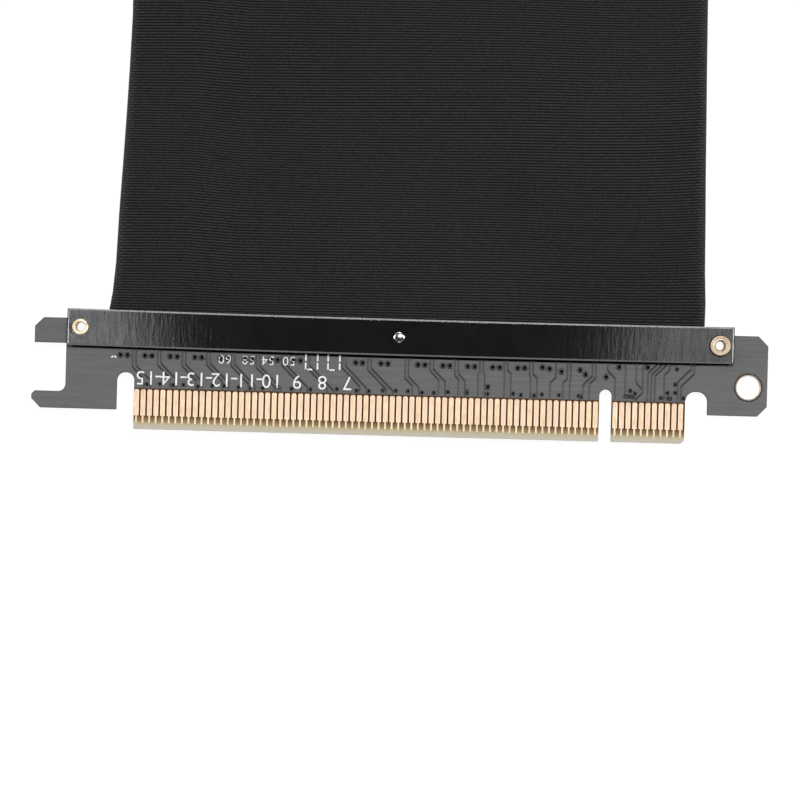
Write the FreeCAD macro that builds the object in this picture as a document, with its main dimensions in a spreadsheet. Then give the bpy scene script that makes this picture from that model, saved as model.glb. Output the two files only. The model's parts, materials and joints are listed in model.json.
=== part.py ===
"""PCIe x16 riser cable: plug board, clamped flat cable and a slot on its own board.

Frame: X runs along the contact rows, +Y from the plug towards the slot, +Z up out of
the boards' front faces.  The origin is the centre of the footprint, on the surface that
the riser lies on.  All lengths are in millimetres.
"""
import FreeCAD, Part
import math
import os
import Sketcher
from FreeCAD import Placement, Rotation, Vector

DOCUMENT = FreeCAD.newDocument("riser_cable")
SHEET = DOCUMENT.addObject("Spreadsheet::Sheet", "sizes")

SIZES = {
    # contact row of the card edge
    "pin_pitch": 1.0,            # neighbouring contacts
    "short_pins": 11,            # contacts right of the key
    "long_pins": 71,             # contacts left of the key
    "key_gap": 3.0,              # contact to contact across the key
    "left_margin": 0.42,         # last contact to the left side of the tongue
    "right_margin": 0.65,        # last contact to the right side of the tongue
    "finger_width": 0.7,
    "finger_start": 1.0,         # height where the thin lead of a contact begins
    "finger_shoulder": 2.1,
    "finger_top": 6.1,
    "lead_width": 0.25,
    "finger_thick": 0.05,
    # plug board
    "board_thick": 1.6,
    "board_top": 16.7,           # finger edge to the edge under the cable
    "bevel_height": 1.0,
    "bevel_depth": 0.36,
    "key_width": 1.9,
    "key_depth": 7.95,
    "left_notch_width": 2.65,
    "left_notch_top": 8.6,
    "left_notch_round": 1.2,
    "right_notch_width": 3.4,
    "right_notch_top": 7.95,
    "right_notch_round": 1.5,
    "tongue_round": 0.8,
    "hook_length": 5.15,         # board's left side to the tip of the lower hook
    "hook_bottom": 2.9,
    "hook_height": 2.6,
    "hook_chamfer": 1.4,
    "hook_bevel": 0.5,
    "neck_margin": 0.15,         # bar's left end to the board's left side
    "neck_round": 1.1,
    "tab_length": 4.85,          # board's left side to the end of the upper tab
    "tab_height": 3.85,
    "tab_chamfer": 1.35,
    "ear_length": 5.3,           # bar's right end to the board's right edge
    "ear_bottom": 4.45,
    "corner_chamfer": 1.5,
    "screw_hole": 4.0,
    "screw_hole_inset": 2.9,     # right edge to the hole's centre
    "screw_hole_row": 8.85,
    # clamp bars, eyelets and rivets
    "bar_shift": 1.475,          # middle of the contact row to the middle of the bar
    "bar_setback": 1.35,         # board's edge to the middle of the bar
    "bar_width": 5.6,
    "bar_end": 5.65,             # sleeve's side to the end of the bar, on the average
    "bar_roof": 0.9,
    "bar_hollow": 1.3,           # board face to the underside of the roof
    "bar_wall": 0.8,             # wall on the side away from the cable
    "hollow_play": 0.2,          # sleeve's nearer side to the end of the hollow
    "bar_chamfer": 0.25,
    "eyelet_inset": 2.0,         # end of the bar to the eyelet's centre
    "eyelet_bore": 1.5,
    "eyelet_mouth": 1.8,
    "eyelet_barrel": 2.3,
    "eyelet_flange": 3.15,
    "flange_height": 0.4,
    "eyelet_roll": 2.6,
    "roll_recess": 3.5,
    "recess_depth": 0.35,
    "rivet_shank": 1.3,
    "rivet_head": 1.8,
    "rivet_proud": 0.3,
    "rivet_dish": 0.1,
    "fit_gap": 0.1,              # shank or barrel in its hole, on the diameter
    # flat cable
    "cable_span": 206.0,         # middle of one bar to the middle of the other
    "end_gap": 0.4,              # board edge to the end of sleeve and ribbons
    "ribbon_gap": 0.02,
    "ribbon_chamfer": 0.2,
    "wire_width": 1.0,
    "wire_thick": 0.3,
    "wire_reach": 2.0,           # ribbon end to the end of its bared wires
    "wire_rise": 0.3,            # length in which an inner wire climbs to the board face
    "wire_count": 8,
    "wire_stagger": 2.5,         # inner wires beside the outer ones
    "sleeve_shift": 1.325,       # middle of the bar to the middle of the sleeve
    "sleeve_margin": 2.1,        # ribbon's side to the sleeve's side at mid length
    "sleeve_spread": 1.55,       # how much further each side stands out at the clamps
    "sleeve_flare": 45.0,        # length in which it spreads
    "sleeve_play": 0.08,         # rib crest to the roof of a bar
    "sleeve_wall": 0.25,
    "sleeve_round": 1.6,
    "ridge_height": 0.12,
    "ridge_count": 120,
    # board and slot at the far end
    "socket_margin": 4.2,        # end of the bar to the end of the board
    "socket_rim": 4.25,          # toe of a spring contact to the board's far edge
    "socket_corner": 1.5,
    "socket_hole": 3.2,
    "socket_hole_inset": 4.0,    # end of the board to the hole's centre
    "slot_gap": 5.45,            # bar to the toe of a spring contact
    "slot_width": 7.5,
    "slot_height": 11.25,
    "slot_end_wall": 2.05,
    "slot_stand_off": 0.3,
    "slot_foot": 2.4,            # length of the feet under the housing's ends
    "slot_chamfer": 0.5,
    "channel_clearance": 0.15,   # each side of the card in the channel
    "channel_end_clearance": 0.3,
    "channel_floor": 2.6,
    "channel_mouth": 0.5,
    "key_clearance": 0.12,
    "cavity_width": 0.6,
    "cavity_outer": 2.7,
    "cavity_roof": 1.6,          # top of the housing to the top of a cavity
    "peg_diameter": 1.7,
    "peg_length": 1.3,
    "spring_width": 0.45,
    "spring_thick": 0.25,
    "spring_foot": 4.75,         # middle of the slot to the toe of the foot
    "spring_heel": 2.2,
    "spring_touch": 0.75,        # middle of the slot to the contact point
    "spring_touch_height": 7.6,
    "spring_tip": 1.3,
    "spring_tip_height": 8.9,
}


class Dim:
    """A length that carries its number and the sheet formula that gives it."""

    def __init__(self, value, formula):
        self.value = float(value)
        self.formula = formula

    @staticmethod
    def of(other):
        """Return other as a Dim."""
        return other if isinstance(other, Dim) else Dim(other, repr(other))

    def __add__(self, other):
        other = Dim.of(other)
        return Dim(self.value + other.value, f"({self.formula} + {other.formula})")

    def __sub__(self, other):
        other = Dim.of(other)
        return Dim(self.value - other.value, f"({self.formula} - {other.formula})")

    def __mul__(self, other):
        other = Dim.of(other)
        return Dim(self.value * other.value, f"({self.formula} * {other.formula})")

    def __truediv__(self, other):
        other = Dim.of(other)
        return Dim(self.value / other.value, f"({self.formula} / {other.formula})")

    def __neg__(self):
        return self * -1


ZERO = Dim(0, "0")


def fill_sheet():
    """Write every driving dimension into the sheet, with its alias."""
    for row, (alias, value) in enumerate(SIZES.items(), start=1):
        SHEET.set(f"A{row}", alias)
        SHEET.set(f"B{row}", str(value))
        SHEET.setAlias(f"B{row}", alias)
    DOCUMENT.recompute()


def size(alias):
    """Return the sheet's value of one alias as a Dim."""
    return Dim(SHEET.get(alias), f"sizes.{alias}")


def bind(owner, prop, length):
    """Tie a property of an object to a Dim."""
    owner.setExpression(prop, Dim.of(length).formula)


# ---------------------------------------------------------------- sketch and feature helpers

def origin_feature(body, role):
    """Return the plane or axis of a body's origin that has this role."""
    return next(item for item in body.Origin.OriginFeatures if item.Role == role)


def new_body(name, base, turn=Rotation()):
    """Add a body at a place given by three Dims, turned by a rotation."""
    body = DOCUMENT.addObject("PartDesign::Body", name)
    body.Label = name
    body.Placement = Placement(Vector(*(step.value for step in base)), turn)
    for axis, step in zip("xyz", base):
        bind(body, f"Placement.Base.{axis}", step)
    return body


def new_sketch(body, name, role, height=ZERO):
    """Add a sketch on an origin plane, moved along that plane's normal."""
    sketch = body.newObject("Sketcher::SketchObject", name)
    sketch.AttachmentSupport = (origin_feature(body, role), [""])
    sketch.MapMode = "FlatFace"
    sketch.AttachmentOffset = Placement(Vector(0, 0, height.value), Rotation())
    bind(sketch, "AttachmentOffset.Base.z", height)
    return sketch


def place_point(sketch, item, end, point):
    """Fix one end of a sketch item at a point given by two Dims."""
    for kind, step in zip(("DistanceX", "DistanceY"), point):
        step = Dim.of(step)
        index = sketch.addConstraint(Sketcher.Constraint(kind, -1, 1, item, end, step.value))
        bind(sketch, f"Constraints[{index}]", step)


def add_outline(sketch, points):
    """Draw a closed outline of straight lines through points given by Dims."""
    places = [Vector(Dim.of(x).value, Dim.of(y).value, 0) for x, y in points]
    first = sketch.GeometryCount
    count = len(points)
    for index, place in enumerate(places):
        sketch.addGeometry(Part.LineSegment(place, places[(index + 1) % count]))
    for index, point in enumerate(points):
        following = first + (index + 1) % count
        sketch.addConstraint(Sketcher.Constraint("Coincident", first + index, 2, following, 1))
        place_point(sketch, first + index, 1, point)
    return sketch


def add_circle(sketch, centre, diameter):
    """Draw a circle whose centre and diameter are Dims."""
    place = Vector(Dim.of(centre[0]).value, Dim.of(centre[1]).value, 0)
    item = sketch.addGeometry(Part.Circle(place, Vector(0, 0, 1), diameter.value / 2))
    place_point(sketch, item, 3, centre)
    index = sketch.addConstraint(Sketcher.Constraint("Diameter", item, diameter.value))
    bind(sketch, f"Constraints[{index}]", diameter)
    return sketch


def box_points(left, right, low, high):
    """Return the corners of a rectangle, counter-clockwise."""
    return [(left, low), (right, low), (right, high), (left, high)]


def extrude(body, kind, sketch, length, reverse=False, symmetric=False):
    """Add a Pad or a Pocket of a sketch."""
    feature = body.newObject(f"PartDesign::{kind}", f"{sketch.Name}_{kind.lower()}")
    feature.Profile = sketch
    feature.SideType = "Symmetric" if symmetric else "One side"
    feature.Reversed = reverse
    bind(feature, "Length", length)
    DOCUMENT.recompute()
    return feature


def repeat(body, feature, pitch, count, axis="X_Axis", reverse=False):
    """Repeat a feature along an origin axis."""
    pattern = body.newObject("PartDesign::LinearPattern", f"{feature.Name}_row")
    pattern.Originals = [feature]
    pattern.Direction = (origin_feature(body, axis), [""])
    pattern.Reversed = reverse
    pattern.Mode = "Spacing"
    bind(pattern, "Offset", pitch)
    bind(pattern, "Occurrences", count)
    body.Tip = pattern
    DOCUMENT.recompute()
    return pattern


def edge_names(body, chosen):
    """Return the names of the edges of a body's tip for which chosen(edge) holds."""
    edges = body.Tip.Shape.Edges
    return [f"Edge{number}" for number, edge in enumerate(edges, start=1) if chosen(edge)]


def dress_edges(body, kind, names, dimension):
    """Add a Fillet or a Chamfer to named edges of a body's tip."""
    base = body.Tip
    feature = body.newObject(f"PartDesign::{kind}", f"{base.Name}_{kind.lower()}")
    feature.Base = (base, names)
    bind(feature, "Radius" if kind == "Fillet" else "Size", dimension)
    DOCUMENT.recompute()
    return feature


def upright_edges_at(body, corners):
    """Return the edges that run along Z at any of the given corners."""
    spots = [Vector(Dim.of(x).value, Dim.of(y).value, 0) for x, y in corners]

    def stands_there(edge):
        ends = [vertex.Point for vertex in edge.Vertexes]
        if len(ends) != 2 or abs(ends[0].z - ends[1].z) < 1e-3:
            return False
        flat = [Vector(end.x, end.y, 0) for end in ends]
        return any(all(end.distanceToPoint(spot) < 1e-3 for end in flat) for spot in spots)

    return edge_names(body, stands_there)


def top_edges(body, height):
    """Return the edges that lie in the top face of a block of this height."""
    return edge_names(body, lambda edge: edge.BoundBox.ZMin > height.value - 1e-3)


def revolve(body, name, points):
    """Turn an outline of radius and height about Z."""
    sketch = add_outline(new_sketch(body, name, "XZ_Plane"), points)
    feature = body.newObject("PartDesign::Revolution", f"{name}_turned")
    feature.Profile = sketch
    feature.ReferenceAxis = (sketch, ["V_Axis"])
    feature.Angle = 360
    DOCUMENT.recompute()
    return feature


fill_sheet()

# ---------------------------------------------------------------- lengths worked out once

half_board = size("board_thick") / 2
bar_height = size("bar_hollow") + size("bar_roof")
stack_half = half_board + bar_height
mid_height = stack_half + size("flange_height")

first_pin = size("key_gap") / 2
last_long = first_pin + size("pin_pitch") * (size("long_pins") - 1)
last_short = first_pin + size("pin_pitch") * (size("short_pins") - 1)
tongue_left = last_long + size("left_margin")
tongue_right = last_short + size("right_margin")
row_length = last_long + last_short

sleeve_mid_half = row_length / 2 + size("sleeve_margin")
sleeve_end_half = sleeve_mid_half + size("sleeve_spread")
sleeve_half_thick = half_board + size("bar_hollow") - size("sleeve_play") - size("ridge_height")
sleeve_room = (sleeve_half_thick - size("sleeve_wall")) * 2
ribbon_thick = (sleeve_room - size("ribbon_gap") * 5) / 4
wire_pitch = row_length / size("wire_count")

bar_length = (sleeve_end_half + size("bar_end")) * 2
bar_left = (last_long - last_short) / 2 + size("bar_shift")
hollow_reach = sleeve_end_half + size("sleeve_shift") + size("hollow_play")
neck_reach = bar_left + bar_length / 2 + size("neck_margin")
hook_reach = neck_reach + size("hook_length")
right_reach = bar_length / 2 - bar_left + size("ear_length")
bar_row = size("board_top") - size("bar_setback")
slot_row = size("bar_width") / 2 + size("slot_gap") + size("spring_foot")
socket_far = slot_row + size("spring_foot") + size("socket_rim")

total_length = bar_row + size("cable_span") + socket_far
key_x = (hook_reach - right_reach) / 2
bar_x = key_x - bar_left
sleeve_x = bar_x + size("sleeve_shift")
plug_y = -total_length / 2
plug_bar_y = plug_y + bar_row
socket_bar_y = plug_bar_y + size("cable_span")
cable_y = (plug_bar_y + socket_bar_y) / 2
cable_length = size("cable_span") - (size("bar_setback") + size("end_gap")) * 2

channel_half = half_board + size("channel_clearance")
channel_left = -(tongue_left + size("channel_end_clearance"))
channel_right = tongue_right + size("channel_end_clearance")
eyelet_x = bar_length / 2 - size("eyelet_inset")
eyelet_hole = size("eyelet_barrel") + size("fit_gap")
rivet_hole = size("rivet_shank") + size("fit_gap")

UPRIGHT = Rotation()
BACK_FACE = Rotation(Vector(0, 1, 0), 180)
FAR_END = Rotation(Vector(0, 0, 1), 180)
FAR_BACK_FACE = Rotation(Vector(1, 0, 0), 180)


# ---------------------------------------------------------------- plug board and contacts

def make_plug_board():
    """Cut the plug's board: contact tongue, key, side notches, hook, tab and screw ear."""
    body = new_body("plug_board", (key_x, plug_y, mid_height))
    left_notch = tongue_left + size("left_notch_width")
    right_notch = tongue_right + size("right_notch_width")
    top = size("board_top")
    hook_top = size("hook_bottom") + size("hook_height")
    tab_reach = neck_reach + size("tab_length")
    chamfer = size("corner_chamfer")
    outline = [
        (size("hook_chamfer") - hook_reach, size("hook_bottom")),
        (-left_notch, size("hook_bottom")),
        (-left_notch, size("left_notch_top")),
        (-tongue_left, size("left_notch_top")),
        (-tongue_left, ZERO),
        (tongue_right, ZERO),
        (tongue_right, size("right_notch_top")),
        (right_notch, size("right_notch_top")),
        (right_notch, size("ear_bottom")),
        (right_reach - chamfer, size("ear_bottom")),
        (right_reach, size("ear_bottom") + chamfer),
        (right_reach, top - chamfer),
        (right_reach - chamfer, top),
        (size("tab_chamfer") - tab_reach, top),
        (-tab_reach, top - size("tab_chamfer")),
        (-tab_reach, top - size("tab_height")),
        (-neck_reach, top - size("tab_height")),
        (-neck_reach, hook_top),
        (size("hook_bevel") - hook_reach, hook_top),
        (-hook_reach, hook_top - size("hook_bevel")),
        (-hook_reach, size("hook_bottom") + size("hook_chamfer")),
    ]
    sketch = add_outline(new_sketch(body, "plug_outline", "XY_Plane"), outline)
    extrude(body, "Pad", sketch, size("board_thick"), symmetric=True)
    rounds = (
        ("left_notch_round", [(-left_notch, size("left_notch_top")),
                              (-tongue_left, size("left_notch_top"))]),
        ("right_notch_round", [(tongue_right, size("right_notch_top")),
                               (right_notch, size("right_notch_top"))]),
        ("neck_round", [(-neck_reach, hook_top)]),
        ("tongue_round", [(tongue_right, ZERO)]),
    )
    for alias, corners in rounds:
        dress_edges(body, "Fillet", upright_edges_at(body, corners), size(alias))
    cut_key(body)
    cut_bevel(body)
    holes = new_sketch(body, "plug_holes", "XY_Plane")
    add_circle(holes, (right_reach - size("screw_hole_inset"), size("screw_hole_row")),
               size("screw_hole"))
    add_circle(holes, (eyelet_x - bar_left, bar_row), eyelet_hole)
    add_circle(holes, (-eyelet_x - bar_left, bar_row), eyelet_hole)
    add_circle(holes, (-bar_left, bar_row), rivet_hole)
    extrude(body, "Pocket", holes, size("board_thick") * 2, symmetric=True)
    return body


def cut_key(body):
    """Cut the round-topped key notch at the body's own X = 0."""
    half = size("key_width") / 2
    spring_line = size("key_depth") - half
    sketch = new_sketch(body, "key_notch", "XY_Plane")
    corners = [(-half, spring_line), (-half, -half), (half, -half), (half, spring_line)]
    places = [Vector(x.value, y.value, 0) for x, y in corners]
    for start, end in zip(places, places[1:]):
        sketch.addGeometry(Part.LineSegment(start, end))
    circle = Part.Circle(Vector(0, spring_line.value, 0), Vector(0, 0, 1), half.value)
    sketch.addGeometry(Part.ArcOfCircle(circle, 0, math.pi))
    left_side, bottom, right_side, crown = range(4)
    for before, after in ((left_side, bottom), (bottom, right_side)):
        sketch.addConstraint(Sketcher.Constraint("Coincident", before, 2, after, 1))
    place_point(sketch, bottom, 1, corners[1])
    place_point(sketch, bottom, 2, corners[2])
    rise = sketch.addConstraint(Sketcher.Constraint("DistanceY", -1, 1, crown, 3,
                                                    spring_line.value))
    bind(sketch, f"Constraints[{rise}]", spring_line)
    for side in (left_side, right_side):
        sketch.addConstraint(Sketcher.Constraint("Vertical", side))
    sketch.addConstraint(Sketcher.Constraint("Tangent", crown, 1, right_side, 2))
    sketch.addConstraint(Sketcher.Constraint("Tangent", crown, 2, left_side, 1))
    extrude(body, "Pocket", sketch, size("board_thick") * 2, symmetric=True)


def cut_bevel(body):
    """Slope both faces of the tongue along its finger edge."""
    sketch = new_sketch(body, "finger_bevel", "YZ_Plane")
    for side in (1, -1):
        face = half_board * side
        add_outline(sketch, [
            (ZERO, face - size("bevel_depth") * side),
            (size("bevel_height"), face),
            (size("bevel_height"), face * 2),
            (-size("bevel_height"), face * 2),
            (-size("bevel_height"), face - size("bevel_depth") * (2 * side)),
        ])
    extrude(body, "Pocket", sketch, hook_reach * 4, symmetric=True)


def finger_points(middle):
    """Return the outline of one contact: thin lead below, wide pad above."""
    lead = size("lead_width") / 2
    half = size("finger_width") / 2
    return [
        (middle - lead, size("finger_start")), (middle + lead, size("finger_start")),
        (middle + lead, size("finger_shoulder")), (middle + half, size("finger_shoulder")),
        (middle + half, size("finger_top")), (middle - half, size("finger_top")),
        (middle - half, size("finger_shoulder")), (middle - lead, size("finger_shoulder")),
    ]


def make_plug_contacts(name, face_height):
    """Lay both runs of gold contacts on one face of the tongue."""
    body = new_body(name, (key_x, plug_y, face_height))
    body.AllowCompound = True
    for run, side in (("short", 1), ("long", -1)):
        sketch = new_sketch(body, f"{name}_{run}", "XY_Plane")
        add_outline(sketch, finger_points(first_pin * side))
        finger = extrude(body, "Pad", sketch, size("finger_thick"))
        repeat(body, finger, size("pin_pitch"), size(f"{run}_pins"), reverse=side < 0)
    return body


# ---------------------------------------------------------------- clamp at either end

def make_bar(name, base, turn):
    """Mould one clamp bar: hollow on the board side and open towards the cable."""
    body = new_body(name, base, turn)
    half_length = bar_length / 2
    half_width = size("bar_width") / 2
    sketch = new_sketch(body, f"{name}_block", "XY_Plane")
    add_outline(sketch, box_points(-half_length, half_length, -half_width, half_width))
    extrude(body, "Pad", sketch, bar_height)
    dress_edges(body, "Chamfer", top_edges(body, bar_height), size("bar_chamfer"))
    hollow = new_sketch(body, f"{name}_hollow", "XY_Plane")
    add_outline(hollow, box_points(-hollow_reach, hollow_reach, size("bar_wall") - half_width,
                                   half_width * 2))
    extrude(body, "Pocket", hollow, size("bar_hollow"), reverse=True)
    holes = new_sketch(body, f"{name}_holes", "XY_Plane")
    add_circle(holes, (eyelet_x, ZERO), eyelet_hole)
    add_circle(holes, (-eyelet_x, ZERO), eyelet_hole)
    add_circle(holes, (ZERO, ZERO), rivet_hole)
    extrude(body, "Pocket", holes, bar_height, reverse=True)
    recess = new_sketch(body, f"{name}_recess", "XY_Plane", bar_height)
    add_circle(recess, (-eyelet_x, ZERO), size("roll_recess"))
    extrude(body, "Pocket", recess, size("recess_depth"))
    return body


def make_eyelet(name, base, turn):
    """Turn one hollow brass eyelet: flange at the top, rolled end in its recess below."""
    body = new_body(name, base, turn)
    bore = size("eyelet_bore") / 2
    barrel = size("eyelet_barrel") / 2
    flange = size("eyelet_flange") / 2
    roll = size("eyelet_roll") / 2
    mouth = size("eyelet_mouth") / 2
    top = stack_half + size("flange_height")
    seat = size("recess_depth") - stack_half
    revolve(body, f"{name}_section", [
        (bore, -stack_half), (roll - size("fit_gap"), -stack_half), (roll, seat),
        (barrel, seat), (barrel, stack_half), (flange, stack_half), (flange, top),
        (mouth, top), (bore, top - (mouth - bore)),
    ])
    return body


def make_rivet(name, base):
    """Turn one solid rivet with a dished head at each end."""
    body = new_body(name, base)
    shank = size("rivet_shank") / 2
    head = size("rivet_head") / 2
    top = stack_half + size("rivet_proud")
    half = [(shank, stack_half), (head, stack_half), (head / 2, top),
            (ZERO, top - size("rivet_dish"))]
    revolve(body, f"{name}_section", half + [(radius, -height) for radius, height in half[::-1]])
    return body


def make_clamp(prefix, bar_y, turns):
    """Build the two bars, two eyelets and rivet that close one end of the cable."""
    front_turn, back_turn = turns
    flip = 1 if front_turn is UPRIGHT else -1
    centre = (bar_x, bar_y, mid_height)
    bodies = [
        make_bar(f"{prefix}_bar_front", (bar_x, bar_y, mid_height + half_board), front_turn),
        make_bar(f"{prefix}_bar_back", (bar_x, bar_y, mid_height - half_board), back_turn),
        make_rivet(f"{prefix}_rivet", centre),
    ]
    for side, turn in ((1, front_turn), (-1, back_turn)):
        end = "right" if side * flip > 0 else "left"
        place = (bar_x + eyelet_x * (side * flip), bar_y, mid_height)
        bodies.append(make_eyelet(f"{prefix}_eyelet_{end}", place, turn))
    return bodies


# ---------------------------------------------------------------- flat cable

def make_ribbon(name, turn, is_outer):
    """Make one flat ribbon with a row of bared wires at each end."""
    body = new_body(name, (sleeve_x, cable_y, mid_height), turn)
    low = size("ribbon_gap") / 2
    if is_outer:
        low = low + ribbon_thick + size("ribbon_gap")
    half = row_length / 2
    sketch = new_sketch(body, f"{name}_section", "XZ_Plane")
    add_outline(sketch, box_points(-half, half, low, low + ribbon_thick))
    extrude(body, "Pad", sketch, cable_length, symmetric=True)

    def is_long(edge):
        return edge.BoundBox.YLength > cable_length.value - 1e-3

    dress_edges(body, "Chamfer", edge_names(body, is_long), size("ribbon_chamfer"))
    wire_top = half_board + size("wire_thick")
    for end in (1, -1):
        start = cable_length / 2 * end
        tip = start + size("wire_reach") * end
        if is_outer:
            points = [(start, half_board), (tip, half_board), (tip, wire_top), (start, wire_top)]
        else:
            climb = start + size("wire_rise") * end
            root = half_board - size("wire_thick")
            points = [(start, root), (climb, root), (climb, half_board),
                      (tip, half_board), (tip, wire_top), (start, wire_top)]
        make_wires(body, f"{name}_wires_{'far' if end > 0 else 'near'}", points, is_outer)
    return body


def make_wires(body, name, points, is_outer):
    """Set one row of bared wires, given the side view of the first."""
    first = wire_pitch * (size("wire_count") - 1) / -2
    if not is_outer:
        first = first + size("wire_stagger")
    sketch = add_outline(new_sketch(body, name, "YZ_Plane", first), points)
    wire = extrude(body, "Pad", sketch, size("wire_width"), symmetric=True)
    repeat(body, wire, wire_pitch, size("wire_count"))


def sleeve_section(body, name, distance, half_width, half_thick, cut):
    """Draw one rounded section of the sleeve, across the cable, at a distance along it."""
    sketch = new_sketch(body, name, "XZ_Plane", -distance)
    add_outline(sketch, [
        (cut - half_width, -half_thick), (half_width - cut, -half_thick),
        (half_width - cut / 4, cut * 0.75 - half_thick),
        (half_width, ZERO),
        (half_width - cut / 4, half_thick - cut * 0.75),
        (half_width - cut, half_thick), (cut - half_width, half_thick),
        (cut / 4 - half_width, half_thick - cut * 0.75),
        (-half_width, ZERO),
        (cut / 4 - half_width, cut * 0.75 - half_thick),
    ])
    return sketch


def make_sleeve():
    """Loft the woven sleeve over the ribbons and raise its cross ribs on both faces."""
    body = new_body("sleeve", (sleeve_x, cable_y, mid_height))
    end = cable_length / 2
    flare = end - size("sleeve_flare")
    stations = ((-end, sleeve_end_half), (-flare, sleeve_mid_half),
                (flare, sleeve_mid_half), (end, sleeve_end_half))
    wall = size("sleeve_wall")
    half_thick = sleeve_half_thick
    for kind, inset in (("Additive", ZERO), ("Subtractive", wall)):
        sections = [
            sleeve_section(body, f"sleeve_{kind.lower()}_{number}", distance, half_width - inset,
                           half_thick - inset, size("sleeve_round"))
            for number, (distance, half_width) in enumerate(stations)
        ]
        loft = body.newObject(f"PartDesign::{kind}Loft", f"sleeve_{kind.lower()}_loft")
        loft.Profile = sections[0]
        loft.Sections = sections[1:]
        loft.Ruled = True
        DOCUMENT.recompute()
    pitch = cable_length / size("ridge_count")
    first = pitch / 2 - end
    ribs = new_sketch(body, "sleeve_ribs", "YZ_Plane")
    for side in (1, -1):
        root = (half_thick - wall / 2) * side
        face = half_thick * side
        crest = (half_thick + size("ridge_height")) * side
        add_outline(ribs, [(first - pitch / 2, root), (first + pitch / 2, root),
                           (first + pitch / 2, face), (first, crest), (first - pitch / 2, face)])
    rib = extrude(body, "Pad", ribs, (sleeve_mid_half - size("sleeve_round")) * 2,
                  symmetric=True)
    repeat(body, rib, pitch, size("ridge_count"), axis="Y_Axis")
    return body


# ---------------------------------------------------------------- far end

def peg_places():
    """Return the places of the housing's two locating pegs, from the key."""
    in_end_foot = channel_left - size("slot_end_wall") + size("slot_foot") / 2
    return ((ZERO, ZERO), (in_end_foot, ZERO))


def make_socket_board():
    """Cut the far board: a plain plate with screw holes, peg holes and clamp holes."""
    body = new_body("socket_board", (bar_x, socket_bar_y, mid_height))
    half = bar_length / 2 + size("socket_margin")
    near = -size("bar_setback")
    sketch = new_sketch(body, "socket_outline", "XY_Plane")
    corners = box_points(-half, half, near, socket_far)
    add_outline(sketch, corners)
    extrude(body, "Pad", sketch, size("board_thick"), symmetric=True)
    dress_edges(body, "Fillet", upright_edges_at(body, corners), size("socket_corner"))
    holes = new_sketch(body, "socket_holes", "XY_Plane")
    for side in (1, -1):
        add_circle(holes, (eyelet_x * side, ZERO), eyelet_hole)
        add_circle(holes, ((half - size("socket_hole_inset")) * side, slot_row),
                   size("socket_hole"))
    add_circle(holes, (ZERO, ZERO), rivet_hole)
    for x, y in peg_places():
        add_circle(holes, (x + bar_left, y + slot_row),
                   size("peg_diameter") + size("fit_gap"))
    extrude(body, "Pocket", holes, size("board_thick") * 2, symmetric=True)
    return body


def make_slot_housing():
    """Mould the slot: card channel, key rib, one cavity per contact, feet and pegs."""
    body = new_body("slot_housing", (key_x, socket_bar_y + slot_row, mid_height + half_board))
    height = size("slot_height")
    stand_off = size("slot_stand_off")
    left = channel_left - size("slot_end_wall")
    right = channel_right + size("slot_end_wall")
    half_width = size("slot_width") / 2
    block = new_sketch(body, "slot_block", "XY_Plane", stand_off)
    add_outline(block, box_points(left, right, -half_width, half_width))
    extrude(body, "Pad", block, height - stand_off)
    dress_edges(body, "Chamfer", top_edges(body, height), size("slot_chamfer"))
    feet = new_sketch(body, "slot_feet", "XY_Plane")
    add_outline(feet, box_points(left, left + size("slot_foot"), -half_width, half_width))
    add_outline(feet, box_points(right - size("slot_foot"), right, -half_width, half_width))
    extrude(body, "Pad", feet, stand_off)
    pegs = new_sketch(body, "slot_pegs", "XY_Plane", -size("peg_length"))
    for place in peg_places():
        add_circle(pegs, place, size("peg_diameter"))
    extrude(body, "Pad", pegs, size("peg_length") + stand_off)
    cut_channel(body, height)
    cut_cavities(body, height)
    return body


def cut_channel(body, height):
    """Cut the channel for the card, with a sloped mouth, and leave the key rib standing."""
    half = channel_half
    key_half = size("key_width") / 2 - size("key_clearance")
    depth = height - size("channel_floor")
    key_drop = depth - size("key_depth") + size("channel_mouth")
    channel = new_sketch(body, "slot_channel", "XY_Plane", height)
    add_outline(channel, box_points(channel_left, -key_half, -half, half))
    add_outline(channel, box_points(key_half, channel_right, -half, half))
    extrude(body, "Pocket", channel, depth)
    over_key = new_sketch(body, "slot_over_key", "XY_Plane", height)
    add_outline(over_key, box_points(-key_half, key_half, -half, half))
    extrude(body, "Pocket", over_key, key_drop)
    mouth = size("channel_mouth")
    sketch = new_sketch(body, "slot_mouth", "YZ_Plane", channel_left)
    add_outline(sketch, [(-half - mouth, height), (-half, height - mouth),
                         (half, height - mouth), (half + mouth, height)])
    extrude(body, "Pocket", sketch, channel_right - channel_left, reverse=True)


def cut_cavities(body, height):
    """Cut one cavity per contact into both walls of the channel."""
    half = size("cavity_width") / 2
    top = height - size("cavity_roof")
    for run, side in (("short", 1), ("long", -1)):
        middle = first_pin * side
        sketch = new_sketch(body, f"cavity_{run}", "XY_Plane", top)
        for row in (1, -1):
            add_outline(sketch, box_points(middle - half, middle + half, channel_half * row,
                                           size("cavity_outer") * row))
        cavity = extrude(body, "Pocket", sketch, top)
        repeat(body, cavity, size("pin_pitch"), size(f"{run}_pins"), reverse=side < 0)


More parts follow.
